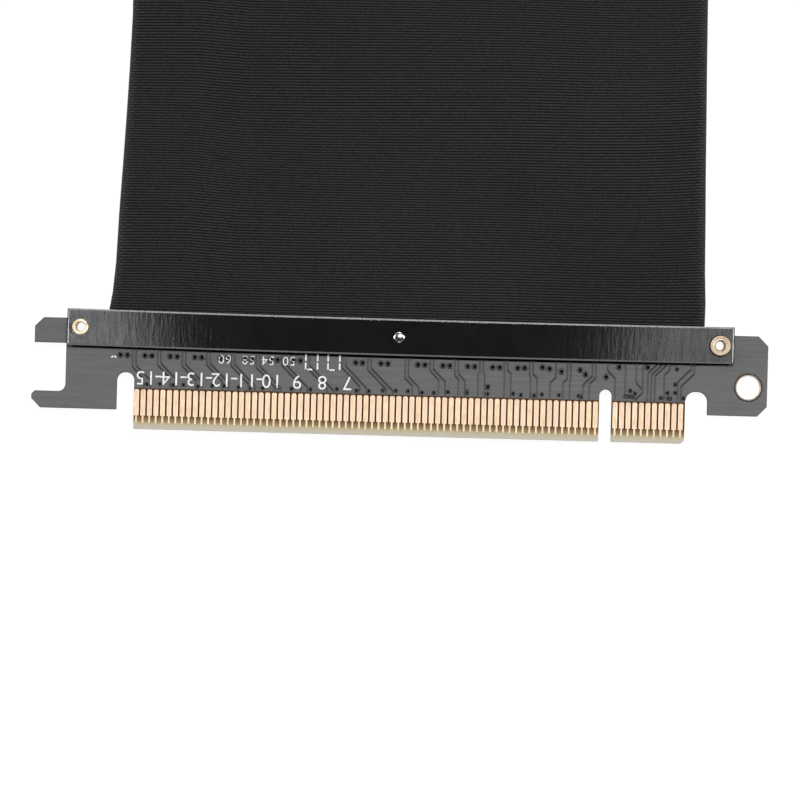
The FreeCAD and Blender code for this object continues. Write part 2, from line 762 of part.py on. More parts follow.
def make_slot_contacts(name, row):
    """Bend one row of spring contacts, with their feet on the board."""
    body = new_body(name, (key_x, socket_bar_y + slot_row, mid_height + half_board))
    body.AllowCompound = True
    thick = size("spring_thick")
    side_view = [
        (size("spring_foot"), ZERO), (size("spring_heel"), ZERO),
        (size("spring_touch"), size("spring_touch_height")),
        (size("spring_tip"), size("spring_tip_height")),
        (size("spring_heel") + thick, thick), (size("spring_foot"), thick),
    ]
    points = [(distance * row, height) for distance, height in side_view]
    for run, side in (("short", 1), ("long", -1)):
        sketch = new_sketch(body, f"{name}_{run}", "YZ_Plane", first_pin * side)
        spring = extrude(body, "Pad", add_outline(sketch, points), size("spring_width"),
                         symmetric=True)
        repeat(body, spring, size("pin_pitch"), size(f"{run}_pins"), reverse=side < 0)
    return body


# ---------------------------------------------------------------- whole riser and export

def make_all():
    """Build every sub-part and return the list of their bodies."""
    bodies = [
        make_plug_board(),
        make_plug_contacts("plug_contacts_front", mid_height + half_board),
        make_plug_contacts("plug_contacts_back", mid_height - half_board - size("finger_thick")),
    ]
    bodies += make_clamp("plug", plug_bar_y, (UPRIGHT, BACK_FACE))
    bodies += [
        make_ribbon("ribbon_front_outer", UPRIGHT, True),
        make_ribbon("ribbon_front_inner", UPRIGHT, False),
        make_ribbon("ribbon_back_inner", BACK_FACE, False),
        make_ribbon("ribbon_back_outer", BACK_FACE, True),
        make_sleeve(),
    ]
    bodies += make_clamp("socket", socket_bar_y, (FAR_END, FAR_BACK_FACE))
    bodies += [
        make_socket_board(),
        make_slot_housing(),
        make_slot_contacts("slot_contacts_front", -1),
        make_slot_contacts("slot_contacts_back", 1),
    ]
    return bodies


def check_and_export(bodies):
    """Stop on any failed object or bad shape, then write one STEP file per sub-part."""
    DOCUMENT.recompute()
    failed = [item.Name for item in DOCUMENT.Objects
              if "Invalid" in item.State or "Error" in item.State]
    if failed:
        raise RuntimeError(f"failed objects: {failed}")
    for body in bodies:
        if body.Shape.isNull() or not body.Shape.isValid():
            raise RuntimeError(f"bad shape: {body.Label}")
    os.makedirs("parts", exist_ok=True)
    for body in bodies:
        body.Shape.exportStep(f"parts/{body.Label}.step")
        box = body.Shape.BoundBox
        print(f"{body.Label}: {len(body.Shape.Solids)} solid(s), {body.Shape.Volume:.1f} mm3, "
              f"X {box.XMin:.2f}..{box.XMax:.2f} Y {box.YMin:.2f}..{box.YMax:.2f} "
              f"Z {box.ZMin:.2f}..{box.ZMax:.2f}")


check_and_export(make_all())
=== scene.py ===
"""Looks of a sixteen-lane riser cable: edge-connector board, woven flat cable, slot board.

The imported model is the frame.  Each class holds the sizes of one sub-assembly in
millimetres, models its pieces with Blender's operators and gives them their finishes.
X runs along the contact rows, +Y from the plug to the slot, +Z out of the boards' faces.
"""

import json
import logging
import math
from collections.abc import Callable, Iterator, Sequence
from contextlib import contextmanager
from dataclasses import dataclass
from enum import Enum

import bpy
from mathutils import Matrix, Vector

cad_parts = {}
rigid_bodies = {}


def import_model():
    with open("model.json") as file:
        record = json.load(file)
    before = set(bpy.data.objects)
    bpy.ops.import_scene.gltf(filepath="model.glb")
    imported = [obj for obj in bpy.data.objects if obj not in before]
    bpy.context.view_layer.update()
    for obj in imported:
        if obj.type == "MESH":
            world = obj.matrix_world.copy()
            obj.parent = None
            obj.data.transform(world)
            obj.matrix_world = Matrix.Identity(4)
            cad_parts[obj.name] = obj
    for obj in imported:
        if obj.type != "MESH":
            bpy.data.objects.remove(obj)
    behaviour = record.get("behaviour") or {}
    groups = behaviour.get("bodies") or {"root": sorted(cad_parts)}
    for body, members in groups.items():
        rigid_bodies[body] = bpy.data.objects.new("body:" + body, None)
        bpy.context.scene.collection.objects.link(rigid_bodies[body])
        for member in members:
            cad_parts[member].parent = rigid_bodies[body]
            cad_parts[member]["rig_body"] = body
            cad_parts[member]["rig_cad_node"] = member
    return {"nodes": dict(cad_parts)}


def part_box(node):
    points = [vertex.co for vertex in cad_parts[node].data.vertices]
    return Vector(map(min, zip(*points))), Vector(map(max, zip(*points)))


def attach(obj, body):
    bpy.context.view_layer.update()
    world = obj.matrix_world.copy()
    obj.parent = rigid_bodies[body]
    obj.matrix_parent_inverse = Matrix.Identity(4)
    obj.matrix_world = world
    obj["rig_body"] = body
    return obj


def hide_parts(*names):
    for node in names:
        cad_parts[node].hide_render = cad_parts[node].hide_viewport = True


MM = 0.001
BODY = "root"
MERGE = 1e-6  # distance under which corners are one, in metres
KEY_TO_ROW_END = 11.85  # from the key's middle to the far side of the last contact
log = logging.getLogger("riser")

Point = tuple[float, float]
Tint = tuple[float, float, float]
Piece = bpy.types.Object
Coat = bpy.types.Material
Socket = bpy.types.NodeSocket


# ------------------------------------------------------------------ modelling tools

class Pick(Enum):
    """The kind of mesh part that a choice is made among."""

    CORNERS = "VERT"
    EDGES = "EDGE"
    FACES = "FACE"


def span(name: str) -> tuple[Vector, Vector]:
    """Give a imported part's lowest and highest corner in millimetres."""
    low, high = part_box(name)
    return low / MM, high / MM


def deselect() -> None:
    """Leave no object selected."""
    bpy.ops.object.select_all(action="DESELECT")


def only(*pieces: Piece) -> None:
    """Select these objects alone and make the first the active one.

    Args:
        pieces: The objects to select.
    """
    deselect()
    for piece in pieces:
        piece.select_set(True)
    bpy.context.view_layer.objects.active = pieces[0]


def settle(name: str, *pieces: Piece) -> Piece:
    """Move pieces' places into their meshes, join them and name the result.

    Args:
        name: Its new name.
        pieces: The objects to settle.

    Returns:
        One object, untransformed, at the origin.
    """
    only(*pieces)
    bpy.ops.object.transform_apply(location=True, rotation=True, scale=True)
    if len(pieces) > 1:
        bpy.ops.object.join()
    piece = bpy.context.active_object
    piece.name = piece.data.name = name
    return piece


def block(name: str, low: Sequence[float], high: Sequence[float]) -> Piece:
    """Start a piece as the box between two corners.

    Args:
        name: Name of the piece.
        low: Lowest corner, in millimetres.
        high: Highest corner, in millimetres.

    Returns:
        The new object.
    """
    deselect()
    bpy.ops.mesh.primitive_cube_add(size=1.0)
    piece = bpy.context.active_object
    piece.location = [(a + b) / 2 * MM for a, b in zip(low, high)]
    piece.scale = [(b - a) * MM for a, b in zip(low, high)]
    return settle(name, piece)


@contextmanager
def editing(piece: Piece, pick: Pick | None = None,
            test: Callable[[Vector, Vector], bool] | None = None) -> Iterator[None]:
    """Work in edit mode on all of a piece, or on the parts that pass a test.

    Args:
        piece: The mesh object.
        pick: Whether corners, edges or faces are tested.  Without it all is selected.
        test: Takes a part's middle in millimetres, and its normal or an edge's direction.

    Yields:
        Nothing, with edit mode on.
    """
    only(piece)
    bpy.ops.object.mode_set(mode="EDIT")
    if pick is None:
        bpy.ops.mesh.select_all(action="SELECT")
    else:
        bpy.ops.mesh.select_mode(type=pick.value)
        bpy.ops.mesh.select_all(action="DESELECT")
        bpy.ops.object.mode_set(mode="OBJECT")
        mesh = piece.data
        if pick is Pick.FACES:
            for face in mesh.polygons:
                face.select = test(face.center / MM, face.normal)
        elif pick is Pick.EDGES:
            for edge in mesh.edges:
                start, end = (mesh.vertices[i].co for i in edge.vertices)
                edge.select = test((start + end) / 2 / MM, (end - start).normalized())
        else:
            for corner in mesh.vertices:
                corner.select = test(corner.co / MM, corner.normal)
        bpy.ops.object.mode_set(mode="EDIT")
    yield
    bpy.ops.object.mode_set(mode="OBJECT")


def shift(x: float = 0.0, y: float = 0.0, z: float = 0.0) -> None:
    """Move what is selected in edit mode, in millimetres."""
    bpy.ops.transform.translate(value=(x * MM, y * MM, z * MM))


def ease(width: float, segments: int = 1, **settings: bool) -> None:
    """Bevel the edges that are selected in edit mode, in millimetres."""
    bpy.ops.mesh.bevel(offset=width * MM, segments=segments, affect="EDGES", **settings)


def finish_mesh(piece: Piece, angle: float) -> None:
    """Merge doubled corners, point faces outwards and shade the piece smooth.

    Args:
        piece: The mesh object.
        angle: Least angle of an edge that stays sharp, in degrees.
    """
    with editing(piece):
        bpy.ops.mesh.remove_doubles(threshold=MERGE / 10)
        bpy.ops.mesh.normals_make_consistent(inside=False)
    smooth(piece, angle)


def smooth(piece: Piece, angle: float) -> None:
    """Shade a piece smooth across edges flatter than an angle in degrees."""
    only(piece)
    bpy.ops.object.shade_smooth_by_angle(angle=math.radians(angle))


def copies(pattern: Piece, places: Sequence[Sequence[float]], name: str,
           flip: bool = False) -> Piece:
    """Repeat a modelled shape and join the copies, each with its own mesh.

    Args:
        pattern: The shape, modelled round the origin.  It is used up.
        places: Where each copy goes, in millimetres.
        name: Name of the joined piece.
        flip: Turn each copy over about the Y axis.

    Returns:
        The joined object.
    """
    made = []
    for place in places:
        piece = pattern.copy()
        piece.data = pattern.data.copy()
        piece.location = Vector(place) * MM
        piece.rotation_euler = (0.0, math.pi if flip else 0.0, 0.0)
        bpy.context.scene.collection.objects.link(piece)
        made.append(piece)
    bpy.data.objects.remove(pattern)
    return settle(name, *made)


def drawn(name: str, paths: Sequence[Sequence[Point]]) -> Piece:
    """Draw open lines as wire, corner by corner, on the level plane.

    Args:
        name: Name of the piece.
        paths: One list of (x, y) points in millimetres for each line.

    Returns:
        A mesh object of wire edges.
    """
    deselect()
    bpy.ops.mesh.primitive_plane_add(size=MM)
    piece = bpy.context.active_object
    with editing(piece):
        bpy.ops.mesh.select_mode(type="VERT")
        bpy.ops.mesh.delete(type="VERT")
        for path in paths:
            bpy.ops.mesh.select_all(action="DESELECT")
            bpy.ops.mesh.primitive_plane_add(
                size=MM, location=(path[0][0] * MM, path[0][1] * MM, 0.0))
            bpy.ops.mesh.merge(type="CENTER")
            for here, there in zip(path, path[1:]):
                step = [(b - a) * MM for a, b in zip(here, there)]
                bpy.ops.mesh.extrude_vertices_move(
                    TRANSFORM_OT_translate={"value": (step[0], step[1], 0.0)})
    return settle(name, piece)


def ridges(name: str, paths: Sequence[Sequence[Point]], level: float, foot: float,
           height: float, sides: int = 1) -> Piece:
    """Lay low rounded ridges along drawn lines, sunk halfway into a surface.

    Args:
        name: Name of the piece.
        paths: The lines' points, in millimetres.
        level: Height of the surface in millimetres.
        foot: Width of a ridge where it meets the surface.
        height: How far its crest stands out.
        sides: Roundness of the section, 0 or more.

    Returns:
        The mesh object.
    """
    only(drawn(name, paths))
    bpy.ops.object.convert(target="CURVE")
    wire = bpy.context.active_object.data
    wire.dimensions = "3D"
    wire.bevel_depth = foot / 2 * MM
    wire.bevel_resolution = sides
    wire.use_fill_caps = True
    bpy.ops.object.convert(target="MESH")
    piece = bpy.context.active_object
    piece.scale = (1.0, 1.0, height / (foot / 2))
    piece.location = (0.0, 0.0, level * MM)
    finish_mesh(settle(name, piece), 60.0)
    return piece


def turned(name: str, section: Sequence[Point], steps: int = 40) -> Piece:
    """Turn a closed section about the Z axis, as on a lathe.

    Args:
        name: Name of the piece.
        section: (radius, height) points in millimetres, closed by the first.
        steps: Number of steps in the turn.

    Returns:
        The turned object, standing on the origin.
    """
    piece = drawn(name, [[*section, section[0]]])
    with editing(piece):
        bpy.ops.mesh.remove_doubles(threshold=MERGE / 10)
    for corner in piece.data.vertices:
        corner.co = (corner.co.x, 0.0, corner.co.y)
    with editing(piece):
        bpy.ops.mesh.spin(steps=steps, angle=math.tau, center=(0, 0, 0), axis=(0, 0, 1))
    finish_mesh(piece, 32.0)
    return piece


def apply(piece: Piece, kind: str, **settings: object) -> None:
    """Add a modifier to the active piece, set it and apply it.

    Args:
        piece: The active object.
        kind: Type of the modifier.
        settings: Its properties.
    """
    step = piece.modifiers.new(kind.lower(), kind)
    for key, value in settings.items():
        setattr(step, key, value)
    bpy.ops.object.modifier_apply(modifier=step.name)


def eased_copy(node: Piece, name: str, width: float, segments: int = 1, rim: int = -1,
               limit: float = 50.0, cuts: Sequence[float] = ()) -> Piece:
    """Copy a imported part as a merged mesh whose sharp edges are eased.

    Args:
        node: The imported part's object.
        name: Name of the new piece.
        width: Width of the easing in millimetres.
        segments: Steps across it.
        rim: Material place for the eased faces, or -1 for their neighbours'.
        limit: Least angle of an edge that is eased, in degrees.
        cuts: Values of X, in millimetres, where the mesh is cut across.

    Returns:
        The new object, which rides on nothing yet.
    """
    piece = node.copy()
    piece.data = node.data.copy()
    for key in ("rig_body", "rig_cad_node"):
        del piece[key]
    piece.parent = None
    bpy.context.scene.collection.objects.link(piece)
    piece.name = piece.data.name = name
    only(piece)
    bpy.ops.mesh.customdata_custom_splitnormals_clear()
    with editing(piece):
        bpy.ops.mesh.remove_doubles(threshold=MERGE)
        bpy.ops.mesh.dissolve_limited(angle_limit=math.radians(1.0))
    apply(piece, "BEVEL", limit_method="ANGLE", angle_limit=math.radians(limit),
          width=width * MM, segments=segments, material=rim)
    for x in cuts:
        with editing(piece):
            bpy.ops.mesh.bisect(plane_co=(x * MM, 0.0, 0.0), plane_no=(1.0, 0.0, 0.0))
    smooth(piece, 32.0)
    apply(piece, "WEIGHTED_NORMAL", keep_sharp=True, weight=100)
    return piece


def dress(piece: Piece, *coats: Coat) -> Piece:
    """Give a piece its finishes, in place of any it has.

    Args:
        piece: The mesh object.
        coats: The finishes, in order.

    Returns:
        The same object.
    """
    piece.data.materials.clear()
    for coat in coats:
        piece.data.materials.append(coat)
    return piece


def own(piece: Piece, slot: str, *nodes: str, coat: Coat | None = None) -> None:
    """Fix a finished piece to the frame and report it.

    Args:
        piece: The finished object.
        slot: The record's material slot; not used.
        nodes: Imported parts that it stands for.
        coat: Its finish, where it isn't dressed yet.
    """
    if coat:
        dress(piece, coat)
    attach(piece, BODY)
    if nodes:
        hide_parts(*nodes)
    log.info("%s: %d faces", piece.name, len(piece.data.polygons))


# ------------------------------------------------------------------ shader tools

class Bench:
    """Wires up one node tree."""

    def __init__(self, tree: bpy.types.NodeTree) -> None:
        """Start on a tree."""
        self.tree = tree

    def feed(self, socket: Socket, source: object) -> None:
        """Link a socket to another, or set its plain value.

        Args:
            socket: The input.
            source: Another socket, or a value.
        """
        if isinstance(source, Socket):
            self.tree.links.new(source, socket)
        else:
            socket.default_value = source

    def add(self, kind: str, sockets: dict[str | int, object] | None = None,
            **settings: object) -> bpy.types.Node:
        """Add a node.

        Args:
            kind: Type of the node, without its ShaderNode prefix.
            sockets: Input values, or sockets to link from, by name or number.
            settings: Properties of the node.

        Returns:
            The node.
        """
        node = self.tree.nodes.new("ShaderNode" + kind)
        for key, value in settings.items():
            setattr(node, key, value)
        for key, value in (sockets or {}).items():
            self.feed(node.inputs[key], value)
        return node

    def calc(self, operation: str, *terms: object) -> Socket:
        """Do one piece of arithmetic on numbers or sockets."""
        return self.add("Math", dict(enumerate(terms)), operation=operation).outputs[0]

    def times(self, first: object, second: object) -> Socket:
        """Multiply two numbers or sockets."""
        return self.calc("MULTIPLY", first, second)

    def line(self, value: object, slope: object, start: object) -> Socket:
        """Multiply by a slope and add a start."""
        return self.calc("MULTIPLY_ADD", value, slope, start)

    def spread(self, value: Socket, low: object, high: object, first: float = 0.0,
               last: float = 1.0) -> Socket:
        """Map a range of values onto another, held at its ends."""
        node = self.add("MapRange", {0: value, 1: low, 2: high, 3: first, 4: last})
        return node.outputs[0]

    def axes(self, vector: Socket) -> Sequence[Socket]:
        """Part a vector into X, Y and Z."""
        return self.add("SeparateXYZ", {0: vector}).outputs

    def blend(self, share: object, first: object, second: object) -> Socket:
        """Mix two colours.

        Args:
            share: How much of the second, a number or a socket.
            first: RGB tint or socket.
            second: RGB tint or socket.

        Returns:
            The mixed colour's socket.
        """
        ends = [(*c, 1.0) if isinstance(c, tuple) else c for c in (first, second)]
        node = self.add("Mix", {0: share, 6: ends[0], 7: ends[1]}, data_type="RGBA")
        return node.outputs[2]


class Effect(Bench):
    """A shader group with a place, some numbers and one result."""

    def __init__(self, name: str, result: str, **numbers: float) -> None:
        """Begin the group.

        Args:
            name: Name of the group.
            result: Name of its output.
            numbers: Its number inputs and their usual values.
        """
        super().__init__(bpy.data.node_groups.new(name, "ShaderNodeTree"))
        face = self.tree.interface
        face.new_socket("Place", in_out="INPUT", socket_type="NodeSocketVector")
        for key, value in numbers.items():
            face.new_socket(key, in_out="INPUT",
                            socket_type="NodeSocketFloat").default_value = value
        face.new_socket(result, in_out="OUTPUT", socket_type="NodeSocketFloat")
        self.given = self.tree.nodes.new("NodeGroupInput").outputs
        self.result = self.tree.nodes.new("NodeGroupOutput").inputs[result]

    def noise(self, vector: Socket, detail: float, **more: float) -> Socket:
        """Add noise at the group's own scale."""
        return self.add("TexNoise", {"Vector": vector, "Scale": self.given["Scale"],
                                     "Detail": detail, **more}).outputs[0]


class SharedEffects:
    """The shader groups that several finishes use."""

    def __init__(self) -> None:
        """Make the mottling, the grain and the drawn-out strokes."""
        mottle = Effect("uneven_tone", "Shade", Scale=200.0, Low=0.4, High=0.6)
        cloud = mottle.noise(mottle.given["Place"], 4.0, Roughness=0.6)
        mottle.feed(mottle.result,
                    mottle.spread(cloud, mottle.given["Low"], mottle.given["High"]))
        self.mottle = mottle.tree

        grain = Effect("fine_grain", "Height", Scale=3000.0)
        place = grain.given["Place"]
        pits = grain.add("TexVoronoi", {"Vector": place,
                                        "Scale": grain.times(grain.given["Scale"], 0.6)})
        grain.feed(grain.result, grain.line(pits.outputs[0], 0.5, grain.noise(place, 3.0)))
        self.grain = grain.tree

        strokes = Effect("strokes", "Shade", Scale=1000.0, Across=1.0, Along=1.0, Up=1.0)
        stretch = strokes.add("CombineXYZ", {i: strokes.given[key] for i, key in
                                             enumerate(("Across", "Along", "Up"))})
        long_way = strokes.add("VectorMath", {0: strokes.given["Place"],
                                              1: stretch.outputs[0]}, operation="MULTIPLY")
        lines = strokes.noise(long_way.outputs[0], 2.0)
        strokes.feed(strokes.result, strokes.spread(lines, 0.35, 0.65))
        self.strokes = strokes.tree


class Surface(Bench):
    """A new material with a Principled shader ready to wire."""

    def __init__(self, name: str, effects: SharedEffects, roughness: float,
                 metallic: float, specular: float) -> None:
        """Make the material.

        Args:
            name: Name of the material.
            effects: The shared groups.
            roughness: Plain roughness.
            metallic: Plain metallic value.
            specular: Plain specular level.
        """
        self.material = bpy.data.materials.new(name)
        self.material.use_nodes = True
        super().__init__(self.material.node_tree)
        self.effects = effects
        self.sockets = self.tree.nodes["Principled BSDF"].inputs
        self.sockets["Roughness"].default_value = roughness
        self.sockets["Metallic"].default_value = metallic
        self.sockets["Specular IOR Level"].default_value = specular
        self.place = self.add("TexCoord").outputs["Object"]

    def drive(self, **sources: Socket) -> None:
        """Link sockets to the shader's inputs, with underscores for spaces."""
        for key, source in sources.items():
            self.tree.links.new(source, self.sockets[key.replace("_", " ")])

    def group(self, tree: bpy.types.NodeTree, **numbers: float) -> Socket:
        """Place a shared group with its own values."""
        node = self.add("Group", {"Place": self.place, **numbers}, node_tree=tree)
        return node.outputs[0]

    def mottle(self, scale: float, low: float = 0.4, high: float = 0.6) -> Socket:
        """Shade the surface in uneven patches."""
        return self.group(self.effects.mottle, Scale=scale, Low=low, High=high)

    def strokes(self, scale: float, across: float = 1.0, along: float = 1.0) -> Socket:
        """Shade the surface in strokes, longest where their scale is least."""
        return self.group(self.effects.strokes, Scale=scale, Across=across, Along=along)

    def lean(self) -> Sequence[Socket]:
        """Give the surface's normal as X, Y and Z."""
        return self.axes(self.add("NewGeometry").outputs["Normal"])

    def emboss(self, height: Socket, depth: float) -> None:
        """Bump the surface by a depth in millimetres."""
        bump = self.add("Bump", {"Height": height, "Distance": depth * MM, "Strength": 1.0})
        self.drive(Normal=bump.outputs["Normal"])

    def roughen(self, scale: float, depth: float) -> None:
        """Bump the surface with the shared grain."""
        self.emboss(self.group(self.effects.grain, Scale=scale), depth)


# ------------------------------------------------------------------ finishes

def grey(level: float) -> Tint:
    """Give a grey tint."""
    return (level, level, level)


@dataclass(frozen=True, kw_only=True)
class Finish:
    """What every finish has: its plain roughness, metallic value and specular level."""

    roughness: float = 0.6
    metallic: float = 0.0
    specular: float = 0.5

    def build(self, name: str, effects: SharedEffects) -> Coat:
        """Make the material.

        Args:
            name: Name of the material.
            effects: The shared groups.

        Returns:
            The material.
        """
        bench = Surface(name, effects, self.roughness, self.metallic, self.specular)
        self.wire(bench)
        return bench.material

    def wire(self, bench: Surface) -> None:
        """Wire what changes over the surface."""
        raise NotImplementedError


@dataclass(frozen=True, kw_only=True)
class MaskFinish(Finish):
    """Grey-black solder mask over copper, with the flanks of buried traces and vias painted
    dark as shade.
    """

    tone: Tint = grey(0.086)
    streak: Tint = (0.060, 0.060, 0.061)
    painted_flank_shade: Tint = grey(0.006)
    roughness: float = 0.55

    def skin(self, bench: Surface) -> Socket:
        """Wire the mask's colour, with flanks painted darkest as shade where they face the
        near left, away from the light.

        Args:
            bench: The material being made.

        Returns:
            The colour's socket.
        """
        weave = bench.strokes(900.0, 0.16, 2.8)
        patch = bench.mottle(120.0, 0.3, 0.7)
        face = bench.blend(bench.times(weave, bench.line(patch, 0.6, 0.35)), self.tone,
                           self.streak)
        lean = bench.lean()
        # painted shade: faces that slope away from the light, towards the near left, take
        # the dark flank tint
        slope = bench.spread(bench.calc("ABSOLUTE", lean[2]), 0.985, 0.86)
        near_left = bench.times(bench.calc("ADD", lean[0], lean[1]), -1.1)
        side = bench.spread(near_left, -0.6, 0.6, 0.4, 1.0)
        return bench.blend(bench.times(slope, side), face, self.painted_flank_shade)

    def wire(self, bench: Surface) -> None:
        """Wire the plain mask."""
        bench.drive(Base_Color=self.skin(bench))
        bench.roughen(2200.0, 0.004)


@dataclass(frozen=True, kw_only=True)
class TongueFinish(MaskFinish):
    """Mask over a plug board whose bare laminate shows round the contacts."""

    left: float
    right: float
    edge: float
    mask_height: float = 6.3
    bands: tuple[tuple[float, Tint], ...] = (
        (0.0, (0.56, 0.53, 0.46)), (0.45, (0.53, 0.49, 0.40)), (0.85, (0.50, 0.45, 0.31)),
        (1.05, (0.44, 0.38, 0.23)), (1.30, (0.30, 0.235, 0.12)),
        (1.70, (0.21, 0.145, 0.068)), (2.05, (0.13, 0.075, 0.030)),
        (2.30, (0.072, 0.028, 0.005)),
    )

    def wire(self, bench: Surface) -> None:
        """Wire the mask with its bare tongue, banded by height above the contact edge.

        Args:
            bench: The material being made.
        """
        across, along = bench.axes(bench.place)[:2]
        height = bench.line(along, 1 / MM, -self.edge)
        ragged = bench.line(bench.mottle(1500.0, 0.3, 0.7), 0.16, height)
        top = self.bands[-1][0]
        ramp = bench.add("ValToRGB", {0: bench.calc("DIVIDE", ragged, top)})
        steps = ramp.color_ramp.elements
        steps[0].color = (*self.bands[0][1], 1.0)
        steps[1].color = (*self.bands[-1][1], 1.0)
        for place, tint in self.bands[1:-1]:
            steps.new(place / top).color = (*tint, 1.0)
        inside = bench.times(bench.calc("GREATER_THAN", across, self.left * MM),
                             bench.calc("LESS_THAN", across, self.right * MM))
        bare = bench.times(bench.calc("LESS_THAN", height, self.mask_height), inside)
        bench.drive(Base_Color=bench.blend(bare, self.skin(bench), ramp.outputs[0]),
                    Specular_IOR_Level=bench.line(bare, -0.4, 0.5))
        bench.roughen(2200.0, 0.004)


@dataclass(frozen=True, kw_only=True)
class StoneFinish(Finish):
    """A dull finish of two mottled tints: board rims painted dark as shade, laminate,
    print, jackets, solder.
    """

    light: Tint
    dark: Tint
    scale: float = 600.0
    grain: float = 0.004

    def wire(self, bench: Surface) -> None:
        """Wire the mottling and the grain."""
        bench.drive(Base_Color=bench.blend(bench.mottle(self.scale), self.light, self.dark))
        bench.roughen(self.scale * 4, self.grain)


@dataclass(frozen=True, kw_only=True)
class GoldFinish(Finish):
    """Plated contacts with rims painted pale as highlight, faint rubbing lines and a tint
    of their own.
    """

    first: float
    pale: Tint = (0.78, 0.585, 0.39)
    deep: Tint = (0.60, 0.40, 0.25)
    rim: Tint = (0.95, 0.80, 0.60)
    rosy: Tint = (0.72, 0.50, 0.38)
    roughness: float = 0.5
    metallic: float = 0.3

    def wire(self, bench: Surface) -> None:
        """Wire the plating, with one chance tint for each contact.

        Args:
            bench: The material being made.
        """
        lines = bench.strokes(2600.0, along=0.3)
        share = bench.times(bench.line(lines, 0.5, 0.2),
                            bench.line(bench.mottle(500.0), 0.8, 0.4))
        number = bench.calc("FLOOR", bench.line(bench.axes(bench.place)[0], 1 / MM,
                                                -self.first))
        chance = bench.add("TexWhiteNoise", {"W": number}, noise_dimensions="1D")
        worn = bench.blend(share, self.pale, self.deep)
        body = bench.blend(bench.times(chance.outputs[0], 0.7), worn, self.rosy)
        # painted highlight: faces that tip away from flat take the pale rim tint
        slope = bench.spread(bench.calc("ABSOLUTE", bench.lean()[2]), 0.98, 0.85)
        bench.drive(Base_Color=bench.blend(slope, body, self.rim),
                    Roughness=bench.line(lines, 0.10, self.roughness))
        bench.emboss(lines, 0.003)


@dataclass(frozen=True, kw_only=True)
class MetalFinish(Finish):
    """Pressed metal with a mottled tone and a slightly battered skin."""

    bright: Tint
    dull: Tint
    dents: float
    dent_scale: float = 700.0
    metallic: float = 1.0

    def wire(self, bench: Surface) -> None:
        """Wire the mottling and dents.

        Args:
            bench: The material being made.
        """
        shade = bench.mottle(900.0)
        bench.drive(Base_Color=bench.blend(shade, self.bright, self.dull),
                    Roughness=bench.line(shade, 0.15, self.roughness))
        bench.emboss(bench.mottle(self.dent_scale, 0.2, 0.8), self.dents)


@dataclass(frozen=True, kw_only=True)
class BarFinish(Finish):
    """Glossy black moulding whose skin has faint upright flow bands and pores."""

    tint: Tint = grey(0.006)
    worn: Tint = grey(0.008)
    roughness: float = 0.06

    def wire(self, bench: Surface) -> None:
        """Wire the skin, whose gloss falls in the bands and pores.

        Args:
            bench: The material being made.
        """
        patch = bench.mottle(260.0)
        bands = bench.strokes(2400.0, along=0.16)
        pores = bench.mottle(3000.0, 0.35, 0.65)
        bench.drive(Base_Color=bench.blend(patch, self.tint, self.worn),
                    Specular_IOR_Level=bench.line(pores, 0.16,
                                                  bench.line(bands, 0.18, 0.34)))
        bench.emboss(bench.line(pores, 0.5, bands), 0.0009)


@dataclass(frozen=True, kw_only=True)
class WeaveFinish(Finish):
    """Woven black sleeve: modelled weft ribs whose valleys are also painted dark as shade
    and crests painted lighter, warp yarns beading them.
    """

    crest: Tint = (0.0345, 0.034, 0.034)
    painted_valley_shade: Tint = grey(0.001)
    roughness: float = 0.7
    specular: float = 0.12

    def wire(self, bench: Surface) -> None:
        """Wire the weave from the yarn counts that the sleeve carries.

        Args:
            bench: The material being made.
        """
        warp, weft = bench.axes(bench.add("UVMap", uv_map="yarns").outputs[0])[:2]
        rib = bench.calc("COSINE", bench.times(weft, math.tau))
        row = bench.calc("FLOOR", bench.calc("ADD", weft, 0.5))
        offset = bench.times(bench.calc("MODULO", row, 2.0), 0.5)
        bead = bench.calc("COSINE", bench.times(bench.calc("ADD", warp, offset), math.tau))
        fibre = bench.mottle(2600.0, 0.3, 0.7)
        cloud = bench.mottle(38.0, 0.25, 0.75)
        # painted shade and light: the rib wave darkens the valleys and lightens the crests
        beads = bench.line(bead, 0.14, bench.line(rib, 0.50, 0.40))
        lit = bench.times(beads, bench.line(fibre, 0.8, 0.5))
        tone = bench.times(lit, bench.line(cloud, 0.3, 0.85))
        bench.drive(Base_Color=bench.blend(bench.spread(tone, 0.0, 1.0), self.painted_valley_shade,
                                           self.crest))
        bench.emboss(bench.calc("ADD", bench.times(bead, 0.3), fibre), 0.03)


